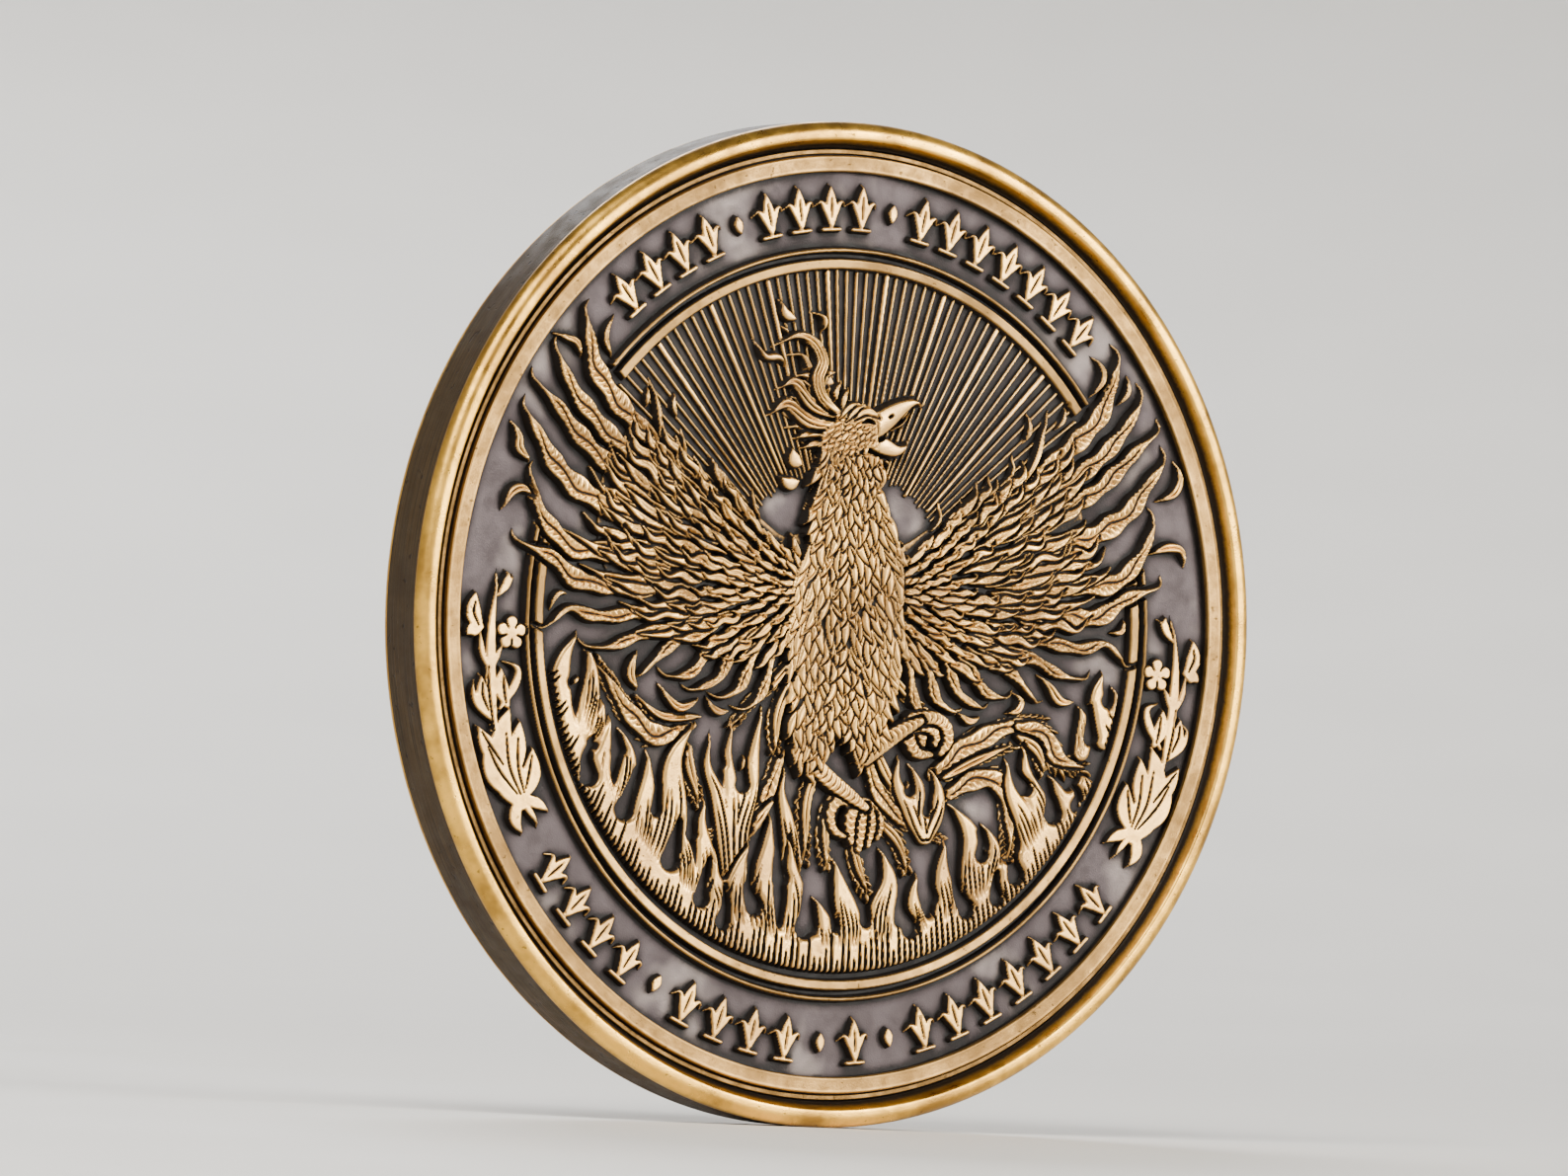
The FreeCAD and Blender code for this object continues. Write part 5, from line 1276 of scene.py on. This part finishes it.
# ---- materials ----
class Shader:
    """Small helper to lay out a node tree."""

    def __init__(self, name):
        self.material = bpy.data.materials.new(name)
        self.material.use_nodes = True
        self.tree = self.material.node_tree
        self.tree.nodes.clear()
        self.surface = self.add("ShaderNodeBsdfPrincipled")
        output = self.add("ShaderNodeOutputMaterial")
        self.tree.links.new(self.surface.outputs[0], output.inputs["Surface"])

    def add(self, kind, inputs=(), **settings):
        node = self.tree.nodes.new(kind)
        for key, value in settings.items():
            setattr(node, key, value)
        for key, value in dict(inputs).items():
            self.put(node.inputs[key], value)
        return node

    def put(self, socket, value):
        """Links another node's output to a socket, or sets the socket to a constant."""
        if isinstance(value, bpy.types.NodeSocket):
            self.tree.links.new(value, socket)
        else:
            socket.default_value = value

    def wear_and_painted_light(self):
        # reads each point's value for wear, patina, painted shade and painted highlight
        return self.add("ShaderNodeAttribute", attribute_name="wear_and_painted_light").outputs["Fac"]

    def place(self):
        return self.add("ShaderNodeTexCoord").outputs["Object"]

    def math(self, operation, first, second=0.0):
        return self.add("ShaderNodeMath", {0: first, 1: second}, operation=operation).outputs[0]

    def plus(self, first, second):
        return self.math("ADD", first, second)

    def minus(self, first, second):
        return self.math("SUBTRACT", first, second)

    def times(self, first, second):
        return self.math("MULTIPLY", first, second)

    def noise(self, vector, scale, detail, roughness):
        return self.add("ShaderNodeTexNoise", {"Vector": vector, "Scale": scale, "Detail": detail,
                                               "Roughness": roughness}).outputs[0]

    def span(self, value, low, high, to_low=0.0, to_high=1.0):
        """value moved from the range low..high to another range, with smooth ends."""
        ranges = {"Value": value, "From Min": low, "From Max": high, "To Min": to_low, "To Max": to_high}
        return self.add("ShaderNodeMapRange", ranges, interpolation_type="SMOOTHSTEP").outputs[0]

    def blend(self, factor, first, second):
        """The first colour where the factor is 0 and the second where it is 1."""
        return self.add("ShaderNodeMix", {0: factor, 6: first, 7: second}, data_type="RGBA").outputs[2]

    def finish(self, colour, roughness, metallic, bump_height, bump_depth):
        """Connects the surface. The bump's depth is in millimetres."""
        bumps = {"Height": bump_height, "Strength": 1.0, "Distance": bump_depth * MM}
        looks = {"Base Color": colour, "Roughness": roughness, "Metallic": metallic,
                 "Normal": self.add("ShaderNodeBump", bumps).outputs[0], "Specular IOR Level": 0.25}
        for socket, value in looks.items():
            self.put(self.surface.inputs[socket], value)
        return self.material


def linear(red, green, blue):
    """A colour given as 0..255 screen values."""
    return (*[((c / 255 + 0.055) / 1.055) ** 2.4 if c > 10 else c / 3294.6 for c in (red, green, blue)], 1.0)


# screen colours of the patina, which also gives painted shade on walls and in creases, the metal, and its
# rubbed high places, which also give painted highlights on convex crests; roughness of the metal and of its
# high places; how grainy the wear is; and where its pattern starts, in millimetres
BRASSES = {
    "relief_brass": ((22, 17, 13), (186, 145, 89), (255, 204, 116), (0.50, 0.30), 0.35, 0.0),
    "ring_brass": ((22, 17, 14), (135, 104, 60), (194, 153, 89), (0.52, 0.40), 0.25, 31.0),
    "rim_brass": ((28, 20, 12), (158, 118, 52), (254, 198, 84), (0.42, 0.28), 0.15, 73.0),
}


def antique_brass(name):
    """Struck brass with dark patina and painted shade in the low places and rubbed metal on the high ones,
    brighter still on crests as a painted highlight.
    """
    *tones, gloss, grain, offset = BRASSES[name]
    dark, middle, bright = (linear(*tone) for tone in tones)
    s = Shader(name)
    place = s.place()
    moved = s.add("ShaderNodeVectorMath", {0: place, 1: (offset * MM, 0.0, 0.0)}, operation="ADD").outputs[0]
    wear_and_painted_light = s.wear_and_painted_light()
    clouds = s.noise(moved, 260.0, 4.0, 0.6)
    blotches = s.noise(moved, 1300.0, 3.0, 0.6)
    sand = s.noise(moved, 9000.0, 2.0, 0.6)
    pits = s.noise(moved, 3600.0, 2.0, 0.5)
    uneven = s.times(s.minus(blotches, 0.5), 0.30)
    polish_and_painted_light = s.plus(wear_and_painted_light, uneven)
    polish_and_painted_light = s.plus(polish_and_painted_light, s.times(s.minus(sand, 0.5), grain))
    # low end of the value: patina plus painted shade; high end: rubbed metal plus a painted highlight
    low = s.span(polish_and_painted_light, 0.22, 0.62)
    high = s.span(polish_and_painted_light, 0.45, 0.90)
    tone = s.blend(s.span(clouds, 0.35, 0.68), bright, middle)
    colour = s.blend(high, middle, tone)
    colour = s.blend(low, dark, colour)
    spots = s.span(pits, 0.68, 0.76)
    colour = s.blend(s.times(spots, 0.55), colour, dark)
    matt, rubbed_matt = gloss
    roughness = s.span(blotches, 0.3, 0.7, matt + 0.10, matt - 0.02)
    roughness = s.minus(roughness, s.times(high, matt - rubbed_matt))
    relief = s.plus(s.times(sand, 0.6), s.times(blotches, 0.8))
    relief = s.minus(relief, s.times(spots, 0.8))
    return s.finish(colour, roughness, s.span(polish_and_painted_light, 0.15, 0.50), relief, 0.012)


# the third colour is the dark of the field beside the relief: patina plus painted shade
FIELD_COLOUR, FIELD_CLOUDS, FIELD_PATINA_AND_SHADE = linear(80, 73, 74), linear(118, 109, 106), linear(15, 12, 11)
EDGE_COLOUR, EDGE_LINES = linear(36, 28, 17), linear(82, 63, 37)
EDGE_CLOUDS, EDGE_SPECKS = linear(52, 40, 28), linear(30, 22, 16)
EDGE_STARTS, EDGE_FULL = 0.0246, 0.0248  # metres from the coin's axis


def field_metal():
    """The blank: a matt grey-brown field, darker beside the relief with patina and painted shade, and the
    brushed edge of the disc.
    """
    s = Shader("antique_field")
    place = s.place()
    axes = s.add("ShaderNodeSeparateXYZ", {0: place}).outputs
    wear_and_painted_light = s.wear_and_painted_light()
    clouds = s.noise(place, 190.0, 3.0, 0.55)
    blotches = s.noise(place, 900.0, 4.0, 0.6)
    sand = s.noise(place, 11000.0, 2.0, 0.6)
    # ground is low beside the relief, where the field is painted dark with patina and painted shade
    ground = s.plus(wear_and_painted_light, s.times(s.minus(blotches, 0.5), 0.5))
    patch = s.span(clouds, 0.52, 0.66)
    field = s.blend(patch, FIELD_COLOUR, FIELD_CLOUDS)
    field = s.blend(s.span(ground, 0.10, 0.85), FIELD_PATINA_AND_SHADE, field)
    # the edge of the disc, brushed along its length
    angle = s.math("ARCTAN2", axes[0], axes[2])
    radius = s.math("SQRT", s.plus(s.times(axes[0], axes[0]), s.times(axes[2], axes[2])))
    around = {0: s.times(angle, 1.6), 1: s.times(axes[1], 9000.0), 2: 0.0}
    around = s.add("ShaderNodeCombineXYZ", around).outputs[0]
    brushed = s.noise(around, 1.6, 4.0, 0.65)
    specks = s.span(s.noise(place, 2400.0, 2.0, 0.5), 0.64, 0.72)
    on_edge = s.span(radius, EDGE_STARTS, EDGE_FULL)
    edge = s.blend(s.span(brushed, 0.3, 0.72), EDGE_COLOUR, EDGE_LINES)
    edge = s.blend(s.span(clouds, 0.40, 0.66, 0.0, 0.55), edge, EDGE_CLOUDS)
    edge = s.blend(s.times(specks, 0.85), edge, EDGE_SPECKS)
    colour = s.blend(on_edge, field, edge)
    roughness = s.plus(s.span(blotches, 0.3, 0.7, 0.46, 0.60), s.times(on_edge, 0.04))
    flat = s.times(sand, s.minus(1.0, on_edge))
    relief = s.plus(flat, s.times(s.times(brushed, 1.4), on_edge))
    relief = s.minus(relief, s.times(s.times(specks, on_edge), 1.5))
    solid = s.span(ground, 0.05, 0.6, 0.1, 1.0)
    solid = s.minus(solid, s.times(s.minus(solid, 0.45), on_edge))
    return s.finish(colour, roughness, solid, relief, 0.012)


def pale_floor():
    """A plain matt floor, very slightly uneven in tone."""
    s = Shader("studio_floor")
    place = s.place()
    cloth = s.noise(place, 30.0, 2.0, 0.5)
    colour = s.blend(cloth, linear(226, 224, 220), linear(233, 231, 227))
    roughness = s.span(cloth, 0.3, 0.7, 0.55, 0.65)
    return s.finish(colour, roughness, 0.0, cloth, 0.05)


# ---- stage ----
def make_stage():
    """A floor that curves up into a wall all round, so that no horizon shows."""
    flat, curve_radius, wall_top, parts, count = 0.5, 1.2, 1.6, 24, 128
    section = [(0.02, 0.0), (0.2, 0.0), (flat, 0.0)]
    for k in range(1, parts + 1):
        a = math.pi / 2 * k / parts
        section.append((flat + curve_radius * math.sin(a), curve_radius * (1 - math.cos(a))))
    section.append((flat + curve_radius, wall_top))
    ground = -COIN_RADIUS * MM
    cosine, sine = circle(count)
    points = []
    for r, z in section:
        points += np.stack([r * cosine, r * sine, np.full(count, z + ground)], 1).tolist()
    middle = len(points)
    points.append([0.0, 0.0, ground])
    starts = range(0, middle, count)
    faces = fan(middle, 0, count)[:, ::-1].tolist()
    for low, high in zip(starts, starts[1:]):
        faces += strip(low, high, count)[:, ::-1].tolist()
    mesh = bpy.data.meshes.new("studio_floor")
    mesh.from_pydata(points, [], faces)
    mesh.polygons.foreach_set("use_smooth", np.ones(len(faces), bool))
    mesh.materials.append(pale_floor())
    floor = bpy.data.objects.new("studio_floor", mesh)
    bpy.context.scene.collection.objects.link(floor)


# soft round lights that face the coin: name, place, size in metres, power in watts, colour
LIGHTS = [
    ("key", (-0.55, -0.55, 0.75), 0.70, 14.0, (1.0, 0.97, 0.91)),
    ("front_right", (0.60, -0.84, 0.16), 0.60, 18.0, (1.0, 0.97, 0.91)),
    ("back", (0.35, 0.85, 0.55), 0.50, 6.0, (0.97, 0.98, 1.0)),
]
SKY = (1.0, 0.985, 0.965, 1.0)
SKY_STRENGTH = 0.29
# the camera: lens in millimetres, place in metres, and the directions to its right and up
LENS = 250.4
CAMERA_PLACE = (-0.30572, -0.44863, -0.01518)
CAMERA_RIGHT = (0.82677, -0.56042, 0.04912)
CAMERA_UP = (-0.05811, 0.00177, 0.99831)


def make_light(name, place, size, power, colour):
    data = bpy.data.lights.new(name, "AREA")
    data.shape = "DISK"
    data.size = size
    data.energy = power
    data.color = colour
    light = bpy.data.objects.new(name, data)
    light.location = place
    light.rotation_euler = (-Vector(place)).to_track_quat("-Z", "Y").to_euler()
    bpy.context.scene.collection.objects.link(light)


def make_sky():
    world = bpy.data.worlds.new("studio")
    world.use_nodes = True
    background = world.node_tree.nodes["Background"]
    background.inputs[0].default_value = SKY
    background.inputs[1].default_value = SKY_STRENGTH
    bpy.context.scene.world = world


def make_camera():
    data = bpy.data.cameras.new("camera")
    data.sensor_width = 36.0
    data.lens = LENS
    data.clip_start = 0.05
    data.clip_end = 10.0
    camera = bpy.data.objects.new("camera", data)
    right, up = Vector(CAMERA_RIGHT), Vector(CAMERA_UP)
    turn = Matrix((right, up, right.cross(up))).transposed().to_4x4()
    camera.matrix_world = Matrix.Translation(Vector(CAMERA_PLACE)) @ turn
    bpy.context.scene.collection.objects.link(camera)
    bpy.context.scene.camera = camera


def main():
    step = 0.05  # millimetres between grid points
    brass = {name: antique_brass(name) for name in BRASSES}
    faces = {OBVERSE: build_obverse(step), REVERSE: build_reverse(step)}

    def look_for(name):
        slot = "ring_brass" if name.endswith("_ring") else "relief_brass"
        return brass[slot], slot

    for side, face in faces.items():
        relief_pieces(face, side, look_for)
    blank_piece(faces, field_metal())
    for side, word in ((OBVERSE, "obverse"), (REVERSE, "reverse")):
        turned(f"{word}_rim_turned", rim_profile(), side, brass["rim_brass"], f"{word}_rim")
        for ring, section in TURNED_RINGS[side].items():
            turned(f"{word}_{ring}_turned", ring_profile(*section), side, brass["ring_brass"],
                   f"{word}_{ring}")
    make_stage()
    make_sky()
    for light in LIGHTS:
        make_light(*light)
    make_camera()


main()
